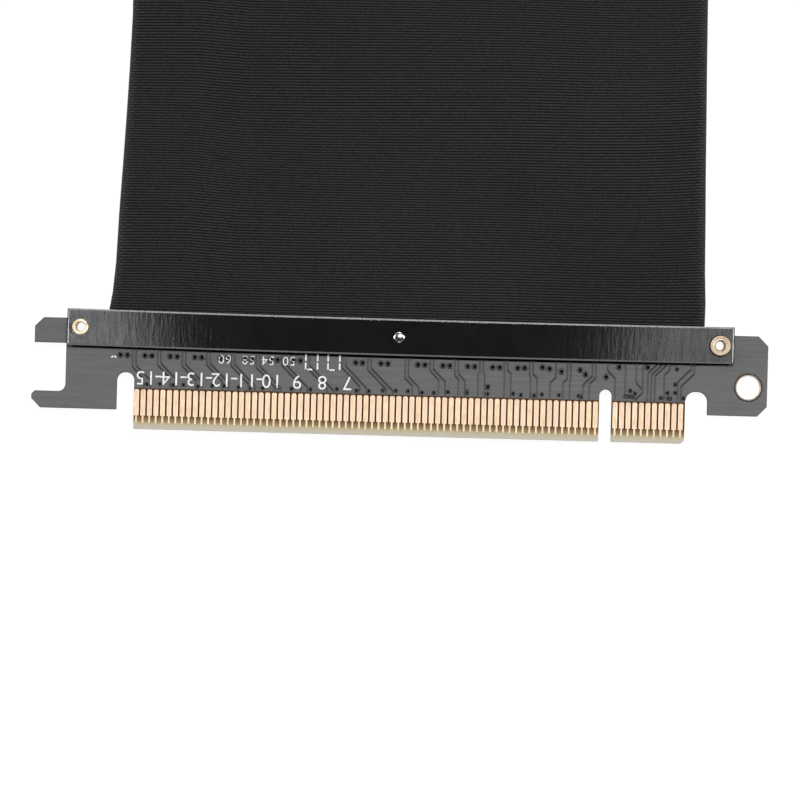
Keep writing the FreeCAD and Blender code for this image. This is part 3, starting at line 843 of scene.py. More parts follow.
@dataclass(frozen=True)
class Finishes:
    """Every material, by the name that the pieces ask for."""

    mask: Coat
    trace: Coat
    slant: Coat
    tongue: Coat
    edge: Coat
    laminate: Coat
    burn: Coat
    painted_shadow: Coat
    painted_shade: Coat
    print_white: Coat
    gold: Coat
    bar: Coat
    brass: Coat
    steel: Coat
    jacket: Coat
    weave: Coat
    slot: Coat
    solder: Coat

    @classmethod
    def build(cls, tongue: TongueFinish, first: float) -> "Finishes":
        """Make them all.

        Args:
            tongue: The plug board's finish with its places set.
            first: X of the key, from which the contacts are counted, in millimetres.

        Returns:
            The set of materials.
        """
        effects = SharedEffects()
        return cls(*(finish.build(name, effects) for name, finish in (
            ("solder_mask", MaskFinish()),
            # painted shade: the traces are painted darker than the mask and the slants
            # darker still, as shade on the ridges
            ("solder_mask_trace", MaskFinish(tone=grey(0.050), streak=grey(0.035))),
            ("solder_mask_slant", MaskFinish(tone=grey(0.014), streak=grey(0.010))),
            ("solder_mask_tongue", tongue),
            # painted shade: the boards' cut rims are painted near black as their shaded
            # outline
            ("rim_painted_shade", StoneFinish(
                light=(0.030, 0.027, 0.020), dark=(0.012, 0.011, 0.009), roughness=0.8,
                specular=0.1)),
            ("laminate_bare", StoneFinish(light=(0.66, 0.52, 0.42),
                                          dark=(0.42, 0.33, 0.25))),
            ("hole_rim_brown", StoneFinish(
                light=(0.085, 0.070, 0.055), dark=(0.035, 0.027, 0.020), scale=1500.0,
                specular=0.2)),
            # painted shadow: a matte black strip stands for the front bar's shadow on the
            # board
            ("painted_shadow_black", StoneFinish(light=grey(0.0012), dark=grey(0.0008), roughness=0.9,
                                       specular=0.04)),
            ("via_pit_painted_shade", StoneFinish(light=grey(0.003), dark=grey(0.006), roughness=0.8,
                                    specular=0.05)),
            ("print_white", StoneFinish(light=(0.86, 0.86, 0.85), dark=grey(0.72),
                                        scale=1500.0)),
            ("contact_gold", GoldFinish(first=first)),
            ("bar_black", BarFinish()),
            ("eyelet_brass", MetalFinish(
                bright=(0.80, 0.67, 0.50), dull=(0.60, 0.46, 0.31), roughness=0.40,
                dents=0.010, metallic=0.5)),
            ("rivet_steel", MetalFinish(
                bright=grey(0.86), dull=(0.60, 0.60, 0.61), roughness=0.16, dents=0.03,
                dent_scale=500.0)),
            ("ribbon_jacket", StoneFinish(light=(0.018, 0.018, 0.019), dark=grey(0.010),
                                          roughness=0.42)),
            ("sleeve_weave", WeaveFinish()),
            ("slot_plastic", StoneFinish(light=(0.016, 0.016, 0.017), dark=grey(0.009),
                                         roughness=0.38, scale=900.0)),
            ("solder_tin", StoneFinish(
                light=(0.62, 0.62, 0.63), dark=(0.42, 0.42, 0.43), roughness=0.3,
                scale=800.0, grain=0.01, metallic=1.0)),
        )))


# ------------------------------------------------------------------ boards

def stand(piece: Piece, place: Vector, over: bool = False) -> Piece:
    """Set a piece down at a place.

    Args:
        piece: The object, modelled round the origin.
        place: Where its origin goes, in millimetres.
        over: Whether it is turned over about the X axis.

    Returns:
        The same object, with its place in its mesh.
    """
    piece.location = place * MM
    piece.rotation_euler = (math.pi if over else 0.0, 0.0, 0.0)
    return settle(piece.name, piece)


@dataclass(kw_only=True)
class Board:
    """A circuit board with an eased rim, buried traces and tented vias on both faces."""

    nodes: dict[str, Piece]
    finishes: Finishes
    end: str
    rim_width: float
    trace_foot: float = 0.24
    trace_height: float = 0.06
    via_radius: float
    via_rise: float

    def __post_init__(self) -> None:
        """Read the board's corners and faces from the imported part."""
        self.low, self.high = span(f"{self.end}_board")
        self.sides = (("front", self.high.z, False), ("back", self.low.z, True))

    def rimmed(self, *coats: Coat) -> Piece:
        """Copy the board with a thin rim at its cut edge, painted near black as shade.

        Args:
            coats: Finish of the faces, of the rim and of what else there is.

        Returns:
            The copy, dressed.
        """
        name = f"{self.end}_board"
        piece = eased_copy(self.nodes[name], name + "_dressed", self.rim_width, rim=1)
        dress(piece, *coats)
        # painted shade: every face that turns sideways takes the dark rim finish
        for face in piece.data.polygons:
            if abs(face.normal.z) < 0.5:
                face.material_index = 1
        return piece

    def traces(self, paths: Sequence[Sequence[Point]], level: float, coat: Coat,
               swell: float = 0.0) -> Piece:
        """Raise buried traces as low ridges.

        Args:
            paths: The traces' points, in millimetres.
            level: Height of the face.
            coat: Their finish.
            swell: How much wider than usual they are, as a share.

        Returns:
            The ridges.
        """
        return dress(ridges("runs", paths, level, self.trace_foot * (1 + swell),
                            self.trace_height * (1 + 2 * swell)), coat)

    def vias(self, places: Sequence[Sequence[float]], over: bool, wide: float = 1.0,
             tall: float = 1.0) -> Piece:
        """Set tented vias, each a low ring round a pit painted dark as shade.

        Args:
            places: Where they go, in millimetres.
            over: Whether they face down.
            wide: Their width as a share of the usual.
            tall: Their height as a share of the usual.

        Returns:
            The vias as one piece.
        """
        radius, rise = self.via_radius * wide, self.via_rise * tall
        deselect()
        bpy.ops.mesh.primitive_circle_add(vertices=14, radius=radius * MM, fill_type="NGON")
        ring = settle("via", bpy.context.active_object)
        with editing(ring, Pick.FACES, lambda at, way: True):
            for inset, lift in ((0.30, rise), (0.08, 0.0), (0.20, -rise)):
                bpy.ops.mesh.inset(thickness=inset * radius * MM)
                shift(z=lift)
        dress(ring, self.finishes.mask, self.finishes.painted_shade)
        # painted shade: the innermost face, the pit, is painted near black
        painted_shade = min(ring.data.polygons, key=lambda face: face.center.length
                  - 10 * (len(face.vertices) > 4))
        painted_shade.material_index = 1
        return copies(ring, places, "vias", over)


@dataclass(kw_only=True)
class PlugBoard(Board):
    """The edge-connector board, in heights above its edge and offsets from the key."""

    key: float
    end: str = "plug"
    rim_width: float = 0.13
    via_radius: float = 0.5
    via_rise: float = 0.14
    bevel_top: float = 1.2
    hole_inset: float = 2.9
    hole_row: float = 8.85
    hole_radius: float = 2.0
    lip_width: float = 0.14
    finger_width: float = 0.7
    finger_low: float = 2.1
    finger_high: float = 6.1
    finger_thick: float = 0.05
    finger_round: float = 0.24
    finger_easing: float = 0.045
    lead_width: float = 0.25
    lead_low: float = 1.0
    lead_easing: float = 0.02
    trace_top: float = 13.0
    slant_swell: float = 0.1
    pair_spread: float = 0.26
    pair_step: float = 0.13
    rim: tuple[Point, ...] = ((-0.07, -0.02), (0.22, 0.0), (0.17, 0.02), (-0.03, 0.02))
    lip: tuple[Point, ...] = ((-0.22, -0.35), (-0.17, -0.06), (0.05, -0.01), (0.05, -0.35))
    lanes: tuple[tuple[float, int, float], ...] = (
        (-72.0, 80, 9.6), (-68.2, 76, 10.0), (-64.4, 72, 9.9), (-60.7, 68, 10.2),
        (-56.9, 64, 10.1), (-53.1, 60, 10.0), (-49.3, 56, 10.5), (-45.5, 52, 10.3),
        (-40.0, 47, 10.3), (-36.1, 43, 10.1), (-30.4, 39, 9.0), (-26.6, 35, 10.2),
        (-22.8, 32, 9.6), (-19.0, 29, 9.9), (-15.3, 25, 10.4), (-11.4, 21, 9.9),
        (-5.66, 16, 9.3), (-1.85, 13, 9.8),
    )
    singles: tuple[tuple[Point, ...], ...] = (
        ((-7.66, 13.0), (-7.66, 9.6), (-8.5, 8.76), (-8.5, 6.2)),
        ((0.2, 13.0), (0.2, 10.9), (1.4, 9.7), (1.4, 6.2)),
        ((2.95, 13.0), (2.95, 6.9)),
        ((4.6, 13.0), (4.6, 9.1), (5.62, 8.0), (5.62, 7.6), (4.5, 6.5), (4.5, 6.2)),
        ((5.62, 13.0), (5.62, 8.0)),
        ((8.45, 13.0), (8.2, 12.4), (6.4, 10.6), (6.4, 6.2)),
        ((9.15, 13.0), (8.75, 12.2), (6.95, 10.4), (6.95, 6.2)),
        ((9.95, 13.0), (9.35, 12.1), (7.5, 10.25), (7.5, 6.2)),
        ((9.72, 13.0), (9.72, 11.3), (8.9, 10.4), (8.9, 6.2)),
        ((13.0, 13.0), (12.95, 11.4), (11.0, 9.45), (11.0, 6.2)),
        ((13.45, 13.0), (13.43, 10.7), (11.5, 8.75), (11.5, 6.2)),
    )
    via_row: float = 10.7749
    via_row_fall: float = 0.0066
    via_split: float = 0.54
    via_pairs: tuple[float, ...] = (
        -73.6, -69.85, -66.0, -62.25, -58.35, -54.6, -50.7, -47.2, -37.7, -33.85, -28.2,
        -24.4, -20.6, -16.8,
    )
    loose_vias: tuple[Point, ...] = (
        (-13.51, 10.88), (-12.44, 10.91), (-9.76, 11.08), (-8.65, 10.92), (-6.83, 10.52),
        (-3.98, 10.85), (-3.14, 10.19), (0.0, 9.9), (1.94, 11.45), (6.31, 11.55),
        (-18.0, 7.9), (-21.2, 7.0),
    )
    finger_vias: tuple[float, ...] = (
        -70.0, -68.0, -66.0, -64.4, -62.2, -60.0, -58.2, -56.0, -54.2, -52.3, -50.0,
        -47.9, -45.0, -41.0, -38.0, -36.1, -34.0, -32.0, -30.15, -28.0, -26.2, -24.05,
        -21.1, -18.0, -14.1, -12.9, -10.9, -9.7, -7.1, -4.1, -3.7, 8.4, 9.9, 11.9,
    )
    pin_holes: tuple[Point, ...] = (
        (3.73, 7.89), (4.48, 7.48), (3.91, 7.04), (3.03, 7.02), (10.79, 11.35),
        (10.58, 9.01), (9.45, 7.7), (10.62, 7.73), (3.45, 7.02), (4.2, 7.0), (9.6, 6.9),
    )

    def __post_init__(self) -> None:
        """Find the contact edge and the ear's hole."""
        super().__post_init__()
        self.edge = self.low.y
        self.hole = (self.high.x - self.hole_inset, self.low.y + self.hole_row)

    def spot(self, offset: float, height: float, level: float = 0.0) -> Vector:
        """Turn an offset from the key and a height above the edge into a place."""
        return Vector((self.key + offset, self.edge + height, level))

    @staticmethod
    def pin(number: int) -> float:
        """Give a contact's offset from the key, counted from the short end."""
        return 12.5 - number if number <= 11 else 10.5 - number

    def make_board(self) -> None:
        """Make the board, bare at its bevelled edge and in the ear's hole."""
        coats = self.finishes
        piece = self.rimmed(coats.tongue, coats.edge, coats.laminate)
        for face in piece.data.polygons:
            middle = face.center / MM
            if middle.y < self.edge + self.bevel_top and abs(face.normal.y) > 0.2:
                face.material_index = 0
            if math.dist(middle[:2], self.hole) < self.hole_radius + self.lip_width:
                face.material_index = 2
        own(piece, "solder_mask", "plug_board")

    def finger(self) -> Piece:
        """Model one contact with its lead.

        Returns:
            The pattern, with the contact edge at the origin.
        """
        half, high, thick = self.finger_width / 2, self.finger_high, self.finger_thick
        finger = block("finger", (-half, self.finger_low, 0), (half, high, thick))
        with editing(finger, Pick.EDGES,
                     lambda at, way: abs(way.z) > 0.9 and at.y > high - 0.01):
            ease(self.finger_round, 3)
        with editing(finger, Pick.EDGES,
                     lambda at, way: abs(way.z) < 0.1 and at.z > thick - 0.001):
            ease(self.finger_easing)
        half = self.lead_width / 2
        lead = block("lead", (-half, self.lead_low, 0),
                     (half, self.finger_low + 0.05, thick - 0.008))
        with editing(lead, Pick.EDGES,
                     lambda at, way: abs(way.y) > 0.9 and at.z > thick - 0.02):
            ease(self.lead_easing)
        return settle("finger", finger, lead)

    def make_fingers(self) -> None:
        """Repeat the contact along both faces."""
        for side, level, over in self.sides:
            piece = copies(self.finger(), [self.spot(self.pin(number), 0, level)
                                           for number in range(1, 83)],
                           f"plug_fingers_{side}", over)
            smooth(piece, 20.0)
            own(piece, "gold_plate", f"plug_contacts_{side}", coat=self.finishes.gold)

    def lane_paths(self) -> list[list[Point]]:
        """Route both traces of every lane from the cable to its contacts.

        Returns:
            One list of (x, y) points for each trace.
        """
        paths = []
        for middle, first_pin, bend in self.lanes:
            for side in (-1, 1):
                start = middle + side * self.pair_spread
                end = self.pin(first_pin + (side < 0))
                turn = bend + side * self.pair_step * (1 if end > start else -1)
                paths.append([
                    (start, self.trace_top), (start, turn), (end, turn - abs(end - start)),
                    (end, self.finger_high - 0.05)])
        paths += self.singles
        return [[tuple(self.spot(*point)[:2]) for point in path] for path in paths]

    def make_traces(self) -> None:
        """Raise the buried traces on both faces, wider where they run aslant."""
        paths = self.lane_paths()
        slants = [[a, b] for path in paths for a, b in zip(path, path[1:])
                  if min(abs(a[0] - b[0]), abs(a[1] - b[1])) > 0.3]
        for side, level, _ in self.sides:
            own(settle(f"plug_traces_{side}",
                       self.traces(paths, level, self.finishes.trace),
                       self.traces(slants, level, self.finishes.slant, self.slant_swell)),
                "solder_mask")

    def make_vias(self) -> None:
        """Set the vias on both faces, with smaller ones over the contacts."""
        spots = [(x + side * self.via_split, self.via_row - self.via_row_fall * x)
                 for x in self.via_pairs for side in (-1, 1)]
        spots += self.loose_vias
        small = [(x, 6.85 + 0.1 * math.sin(7 * x)) for x in self.finger_vias]
        small += self.pin_holes
        for side, level, over in self.sides:
            large, little = ([self.spot(*spot, level) for spot in group]
                             for group in (spots, small))
            piece = settle(f"plug_vias_{side}", self.vias(large, over),
                           self.vias(little, over, 0.76, 0.8))
            smooth(piece, 50.0)
            own(piece, "solder_mask")

    def make_hole_rings(self) -> None:
        """Ring the ear's hole with the brown copper edge and the bare lip of its cut."""
        rings = []
        for _, level, over in self.sides:
            for section, coat in ((self.rim, self.finishes.burn),
                                  (self.lip, self.finishes.laminate)):
                ring = turned("ring", [(self.hole_radius + out, up) for out, up in section],
                              56)
                rings.append(dress(stand(ring, Vector((*self.hole, level)), over), coat))
        own(settle("plug_hole_rings", *rings), "solder_mask")

    def run(self) -> None:
        """Make everything on the board."""
        self.make_board()
        self.make_hole_rings()
        self.make_fingers()
        self.make_traces()
        self.make_vias()


# ------------------------------------------------------------------ white print

@dataclass
class Print:
    """White print on the boards: plain numbers, ticks and outlines."""

    finishes: Finishes
    thickness: float = 0.075
    stroke: float = 0.24
    cap_share: float = 0.70
    thinning: float = 0.006
    lane_start: float = -70.2
    lane_pitch: float = 3.85
    lane_row: float = 7.95
    lane_height: float = 2.1
    dash_row: float = 8.1
    pin_row: float = 11.05
    pin_height: float = 1.35
    pin_numbers: tuple[tuple[str, float], ...] = (
        ("60", -58.2), ("58", -54.6), ("54", -51.6), ("50", -48.4))
    tick_rows: tuple[tuple[float, bool], ...] = (
        (-45.85, True), (-44.05, False), (-42.45, True), (-40.66, False))

    def number(self, text: str, place: Vector, height: float, over: bool = False) -> Piece:
        """Set one number in flat print.

        Args:
            text: The digits.
            place: Middle of the number, in millimetres.
            height: Height of the digits.
            over: Whether it reads from the far side.

        Returns:
            The mesh object.
        """
        deselect()
        bpy.ops.object.text_add()
        words = bpy.context.active_object.data
        words.body = text
        words.align_x, words.align_y = "CENTER", "CENTER"
        words.size = height / self.cap_share * MM
        words.space_character = 1.1
        words.extrude = self.thickness / 2 * MM
        words.offset = -self.thinning * height * MM
        words.resolution_u = 4
        bpy.ops.object.convert(target="MESH")
        piece = bpy.context.active_object
        piece.location = (place + Vector((0, 0, self.thickness / 2))) * MM
        piece.rotation_euler = (0.0, 0.0, math.pi if over else 0.0)
        return settle("number", piece)

    def dash(self, start: Sequence[float], end: Sequence[float], level: float) -> Piece:
        """Print one straight stroke along X or Y.

        Args:
            start: X and Y of one end, in millimetres.
            end: X and Y of the other.
            level: Height of the face.

        Returns:
            The stroke.
        """
        half = self.stroke / 2
        low = [min(a, b) - half for a, b in zip(start[:2], end[:2])]
        high = [max(a, b) + half for a, b in zip(start[:2], end[:2])]
        return block("dash", (*low, level), (*high, level + self.thickness))

    def on_plug(self, board: PlugBoard) -> None:
        """Print lane numbers, pin numbers and ticks on the plug board's front.

        Args:
            board: The plug board.
        """
        level = board.high.z
        lanes = [self.lane_start + self.lane_pitch * i for i in range(9)]
        parts = [self.number(str(15 - i), board.spot(offset, self.lane_row, level),
                             self.lane_height, True) for i, offset in enumerate(lanes)]
        parts += [self.number(text, board.spot(offset, self.pin_row, level),
                              self.pin_height, True) for text, offset in self.pin_numbers]
        strokes = [(offset + 1.6, self.dash_row, offset + 2.3, self.dash_row)
                   for offset in lanes[:5]]
        for offset, footed in self.tick_rows:
            strokes += [(offset, 11.2, offset, 12.0), (offset, 9.95, offset, 10.72)]
            if footed:
                strokes.append((offset + 0.35, 9.8, offset + 0.9, 9.8))
        parts += [self.dash(board.spot(*stroke[:2]), board.spot(*stroke[2:]), level)
                  for stroke in strokes]
        for side in (-1, 1):
            caret = self.dash((-0.16, 0.0), (0.16, 0.0), 0.0)
            caret.rotation_euler = (0.0, 0.0, -side * math.radians(38))
            caret.location = board.spot(-75.14 + side * 0.15, 11.0, level) * MM
            parts.append(settle("dash", caret))
        own(settle("plug_print", *parts), "solder_mask", coat=self.finishes.print_white)

    def outline(self, low: Point, high: Point, level: float) -> list[Piece]:
        """Print a rectangle's four sides."""
        corners = [low, (high[0], low[1]), high, (low[0], high[1])]
        return [self.dash(a, b, level) for a, b in zip(corners, corners[1:] + corners[:1])]


# ------------------------------------------------------------------ clamps

@dataclass
class Clamps:
    """Bars, eyelets and rivets at both ends of the cable."""

    nodes: dict[str, Piece]
    finishes: Finishes
    bore: float = 0.70
    mouth: float = 0.9
    flange: float = 1.54
    flange_height: float = 0.4
    barrel: float = 1.15
    roll: float = 1.25
    dome: tuple[Point, ...] = (
        (0.0, 0.0), (0.2, 0.01), (0.4, 0.05), (0.58, 0.11), (0.74, 0.2), (0.84, 0.32),
        (0.86, 0.4), (0.65, 0.4))
    crown_slip: Point = (0.13, 0.11)
    bar_half: float = 50.8
    bar_easing: float = 0.05
    bar_chamfer: float = 0.25
    chamfer_lift: float = 0.045
    sag: float = 0.22
    tilt: float = 0.09
    shadow_strip_width: float = 1.3
    shadow_strip_height: float = 0.10
    play: tuple[tuple[str, Point], ...] = (
        ("plug_eyelet_right", (-0.12, -0.25)), ("plug_rivet", (-0.22, -0.27)))

    def middle_of(self, name: str) -> Vector:
        """Give the middle of a fastener, with its play, in millimetres."""
        low, high = span(name)
        return (low + high) / 2 + Vector((*dict(self.play).get(name, (0.0, 0.0)), 0.0))

    def bow(self, x: float) -> float:
        """Give how far the plug's clamp is drawn towards the contacts at an X, in mm."""
        along = x / self.bar_half
        return -self.sag * (1.0 - along * along) - self.tilt * (1.0 + along)

    def make_bars(self) -> None:
        """Copy the four bars with eased edges and slightly flatter chamfers."""
        for name in ("plug_bar_front", "plug_bar_back", "socket_bar_front",
                     "socket_bar_back"):
            low, high = span(name)
            front, at_plug = name.endswith("front"), name.startswith("plug")
            shoulder = high.z - self.bar_chamfer if front else low.z + self.bar_chamfer
            piece = eased_copy(self.nodes[name], name + "_moulding", self.bar_easing, 2,
                               limit=30.0, cuts=range(-45, 50, 9) if at_plug else ())
            with editing(piece, Pick.CORNERS, lambda at, way: abs(at.z - shoulder) < 0.06
                         and not (low.x + 0.1 < at.x < high.x - 0.1
                                  and low.y + 0.1 < at.y < high.y - 0.1)):
                shift(z=self.chamfer_lift if front else -self.chamfer_lift)
            if at_plug:
                for corner in piece.data.vertices:
                    corner.co.y += self.bow(corner.co.x / MM) * MM
            own(piece, "black_bar", name, coat=self.finishes.bar)

    def make_painted_shadow(self) -> None:
        """Lay a matte black strip along the near edge of the plug's front bar, a painted
        shadow where the bar's shadow falls on the board.
        """
        near = span("plug_bar_front")[0].y
        path = [(along * (self.bar_half - 0.75), near + self.bow(along * self.bar_half)
                 + 0.38 - 0.13 * (1.0 - along * along))
                for along in (step / 8 for step in range(-8, 9))]
        piece = ridges("plug_painted_shadow", [path], span("plug_board")[1].z, self.shadow_strip_width,
                       self.shadow_strip_height, 2)
        own(piece, "black_bar", coat=self.finishes.painted_shadow)

    def eyelet_section(self, height: float) -> list[Point]:
        """Give an eyelet's section from its curled far end up to its rolled flange.

        Args:
            height: Whole height of the eyelet.

        Returns:
            (radius, height) points.
        """
        bore, roll, flange, mouth = self.bore, self.roll, self.flange, self.mouth
        seat = height - self.flange_height
        return [
            (bore, 0.12), (bore + 0.08, 0.03), (bore + 0.2, 0.0), (roll - 0.12, 0.02),
            (roll, 0.14), (roll - 0.02, 0.32), (self.barrel, 0.36), (self.barrel, seat),
            (flange - 0.05, seat), (flange, seat + 0.08), (flange - 0.02, height - 0.16),
            (flange - 0.10, height - 0.04), (flange - 0.22, height),
            (flange - 0.38, height - 0.05), (mouth + 0.14, height - 0.12),
            (mouth + 0.04, height - 0.10), (mouth - 0.03, height - 0.2),
            (bore + 0.06, height - 0.45), (bore, height - 0.9),
        ]

    def make_eyelets(self) -> None:
        """Turn each eyelet, and a thin black ring laid round its flange on its bar, a
        painted shadow.
        """
        shadow_ring_section = [(self.flange - 0.10, 0.0), (self.flange + 0.13, 0.0),
                  (self.flange + 0.10, 0.025), (self.flange - 0.10, 0.03)]
        shadow_rings = []
        for name in ("plug_eyelet_right", "plug_eyelet_left", "socket_eyelet_left",
                     "socket_eyelet_right"):
            low, high = span(name)
            end = name.split("_")[0]
            front, back = span(f"{end}_bar_front")[1].z, span(f"{end}_bar_back")[0].z
            over = back - low.z > high.z - front
            middle = self.middle_of(name)
            foot = Vector((middle.x, middle.y, high.z if over else low.z))
            piece = turned(name + "_turned", self.eyelet_section(high.z - low.z), 44)
            own(stand(piece, foot, over), "eyelet_brass", name, coat=self.finishes.brass)
            shadow_rings.append((name + "_bite", Vector((
                middle.x - 0.06, middle.y - 0.05, back + 0.003 if over else front - 0.003)),
                over))
        # painted shadow: a matte black ring round each flange's foot
        for name, seat, over in shadow_rings:
            piece = stand(turned(name, shadow_ring_section), seat, over)
            own(piece, "black_bar", coat=self.finishes.painted_shade)

    def make_rivets(self) -> None:
        """Form the rivets with domed heads whose crowns have slipped a little."""
        for name in ("plug_rivet", "socket_rivet"):
            low, high = span(name)
            middle, half = self.middle_of(name), (high.z - low.z) / 2
            upper = [(out, half - down) for out, down in self.dome]
            lower = [(out, -up) for out, up in upper[::-1]]
            piece = stand(turned(name + "_formed", upper + lower, 28), middle)
            with editing(piece, Pick.CORNERS,
                         lambda at, way: abs(at.z - middle.z) > half - 0.16):
                shift(*self.crown_slip)
            own(piece, "rivet_steel", name, coat=self.finishes.steel)

    def run(self) -> None:
        """Make everything in the clamps."""
        self.make_bars()
        self.make_painted_shadow()
        self.make_eyelets()
        self.make_rivets()


# ------------------------------------------------------------------ cable

@dataclass
class Cable:
    """The ribbons and their woven sleeve."""

    nodes: dict[str, Piece]
    finishes: Finishes
    pitch: float = 0.42
    rows: int = 3
    ridge: float = 0.10
    warp_pitch: float = 0.36
    half_thick: float = 1.93
    corner_steps: int = 7
    rough_half: float = 10.0
    spread: float = 1.55
    flare: float = 45.0
    plug_left: float = -44.8
    plug_right: float = 46.25
    settled: float = 110.0
    stations: tuple[tuple[float, float, float], ...] = (
        (0.0, 0.0, 0.0), (0.8, 0.13, -0.13), (3.8, 0.60, -0.18), (8.4, 0.99, 0.03),
        (16.0, 1.28, 0.15), (23.6, 1.66, 0.32), (31.3, 2.0, 0.44), (38.9, 2.3, 0.56),
        (46.2, 2.52, 0.65), (70.0, 2.3, 0.95),
    )
    columns: tuple[float, ...] = (0.0, 0.35, 0.62, 0.80, 0.91, 0.97, 1.0)

    def __post_init__(self) -> None:
        """Read the sleeve's place, its rib count and its half width at mid length."""
        self.low, self.high = span("sleeve")
        self.middle = (self.low + self.high) / 2
        self.narrow = (self.high.x - self.low.x) / 2 - self.spread
        self.length = self.high.y - self.low.y
        self.ribs = round(self.length / self.pitch)
        self.step = self.length / self.ribs

    def edges(self, distance: float) -> Point:
        """Give X of the sleeve's two sides at a distance from the plug's clamp.

        Args:
            distance: Distance along the cable in millimetres.

        Returns:
            X of the left and right side.
        """
        far = min(1.0, max(0.0, (self.length - distance) / self.flare))
        flare = self.spread * (1 - far) ** 2
        points = [(d, self.plug_left + a, self.plug_right - b) for d, a, b in self.stations]
        points.append((self.settled, self.middle.x - self.narrow,
                       self.middle.x + self.narrow))
        left, right = points[-1][1:]
        for start, end in zip(points, points[1:]):
            if start[0] <= distance <= end[0]:
                share = (distance - start[0]) / (end[0] - start[0])
                left, right = (start[i] + share * (end[i] - start[i]) for i in (1, 2))
        return left - flare, right + flare

    def make_sleeve(self) -> None:
        """Model one rib round the section, repeat it and ease it to the cable's run."""
        half, side = self.half_thick, self.rough_half + self.half_thick
        rib = block("sleeve_woven", (-side, 0.0, -half), (side, self.step, half))
        with editing(rib, Pick.FACES, lambda at, way: abs(way.y) > 0.9):
            bpy.ops.mesh.delete(type="ONLY_FACE")
        with editing(rib, Pick.EDGES, lambda at, way: abs(way.y) > 0.9):
            ease(half, self.corner_steps, clamp_overlap=False)
            bpy.ops.mesh.select_all(action="SELECT")
            bpy.ops.mesh.remove_doubles(threshold=MERGE)
        with editing(rib, Pick.EDGES, lambda at, way: abs(way.x) > 0.9999):
            bpy.ops.mesh.subdivide(number_cuts=2 * len(self.columns) - 3)
        with editing(rib, Pick.EDGES, lambda at, way: abs(way.y) > 0.99):
            bpy.ops.mesh.subdivide(number_cuts=self.rows - 1)
        only(rib)
        apply(rib, "ARRAY", count=self.ribs, use_relative_offset=False,
              use_constant_offset=True,
              constant_offset_displace=(0.0, self.step * MM, 0.0))
        with editing(rib):
            bpy.ops.mesh.remove_doubles(threshold=MERGE)
        self.shape_sleeve(rib)
        smooth(rib, 75.0)
        own(rib, "woven_sleeve", "sleeve", coat=self.finishes.weave)

    def shape_sleeve(self, rib: Piece) -> None:
        """Move the tube's corners to the cable's run and store its yarn counts.

        Args:
            rib: The tube of repeated ribs, in its rough section.
        """
        last = len(self.columns) - 1
        warps, wefts = [], []
        for corner in rib.data.vertices:
            x, along, z = corner.co / MM
            phase = along / self.step
            crest = 0.5 - 0.5 * math.cos(math.tau * phase)
            bulge = max(0.0, abs(x) - self.rough_half) / self.half_thick
            if bulge > 1e-4:
                share = math.copysign(1.0, x)
            else:
                column = round(x / self.rough_half * last)
                share = math.copysign(self.columns[abs(column)], column)
            left, right = self.edges(along)
            radius = self.half_thick - self.ridge * (1 - crest)
            flat = (right - left) / 2 - self.half_thick
            across = (left + right) / 2 + share * (flat + bulge * radius)
            lean = min(max(along + self.lift(across, along), 0.0), self.length)
            rise = z / self.half_thick * radius
            corner.co = Vector((across, self.low.y + lean, self.middle.z + rise)) * MM
            warps.append(share * (flat + bulge * 0.6) / self.warp_pitch)
            wefts.append(phase - 0.5)
        layer = rib.data.uv_layers.new(name="yarns")
        for loop in rib.data.loops:
            layer.data[loop.index].uv = (warps[loop.vertex_index], wefts[loop.vertex_index])

    @staticmethod
    def lift(across: float, along: float) -> float:
        """Let the ribs turn with the cable and step where a ribbon's side lies under them.

        Args:
            across: X in millimetres.
            along: Distance from the plug's clamp.

        Returns:
            How far the rib leans towards the slot there.
        """
        turn = 0.016 * across
        steps = (0.36 * math.tanh((across + 27.3) / 3.2)
                 + 0.12 * math.tanh((across - 21.0) / 3.5))
        side = 0.42 * max(0.0, (across - 33.0) / 12.0) ** 2
        wander = 0.30 * math.sin(along / 5.6 + across / 26.0) * min(1.0, along / 20.0)
        return min(1.0, along / 9.0) * (turn - steps + side) + wander

    def run(self) -> None:
        """Make the sleeve and give the ribbons their jacket."""
        self.make_sleeve()
        for name in ("ribbon_front_outer", "ribbon_front_inner", "ribbon_back_inner",
                     "ribbon_back_outer"):
            dress(self.nodes[name], self.finishes.jacket)


# ------------------------------------------------------------------ slot board

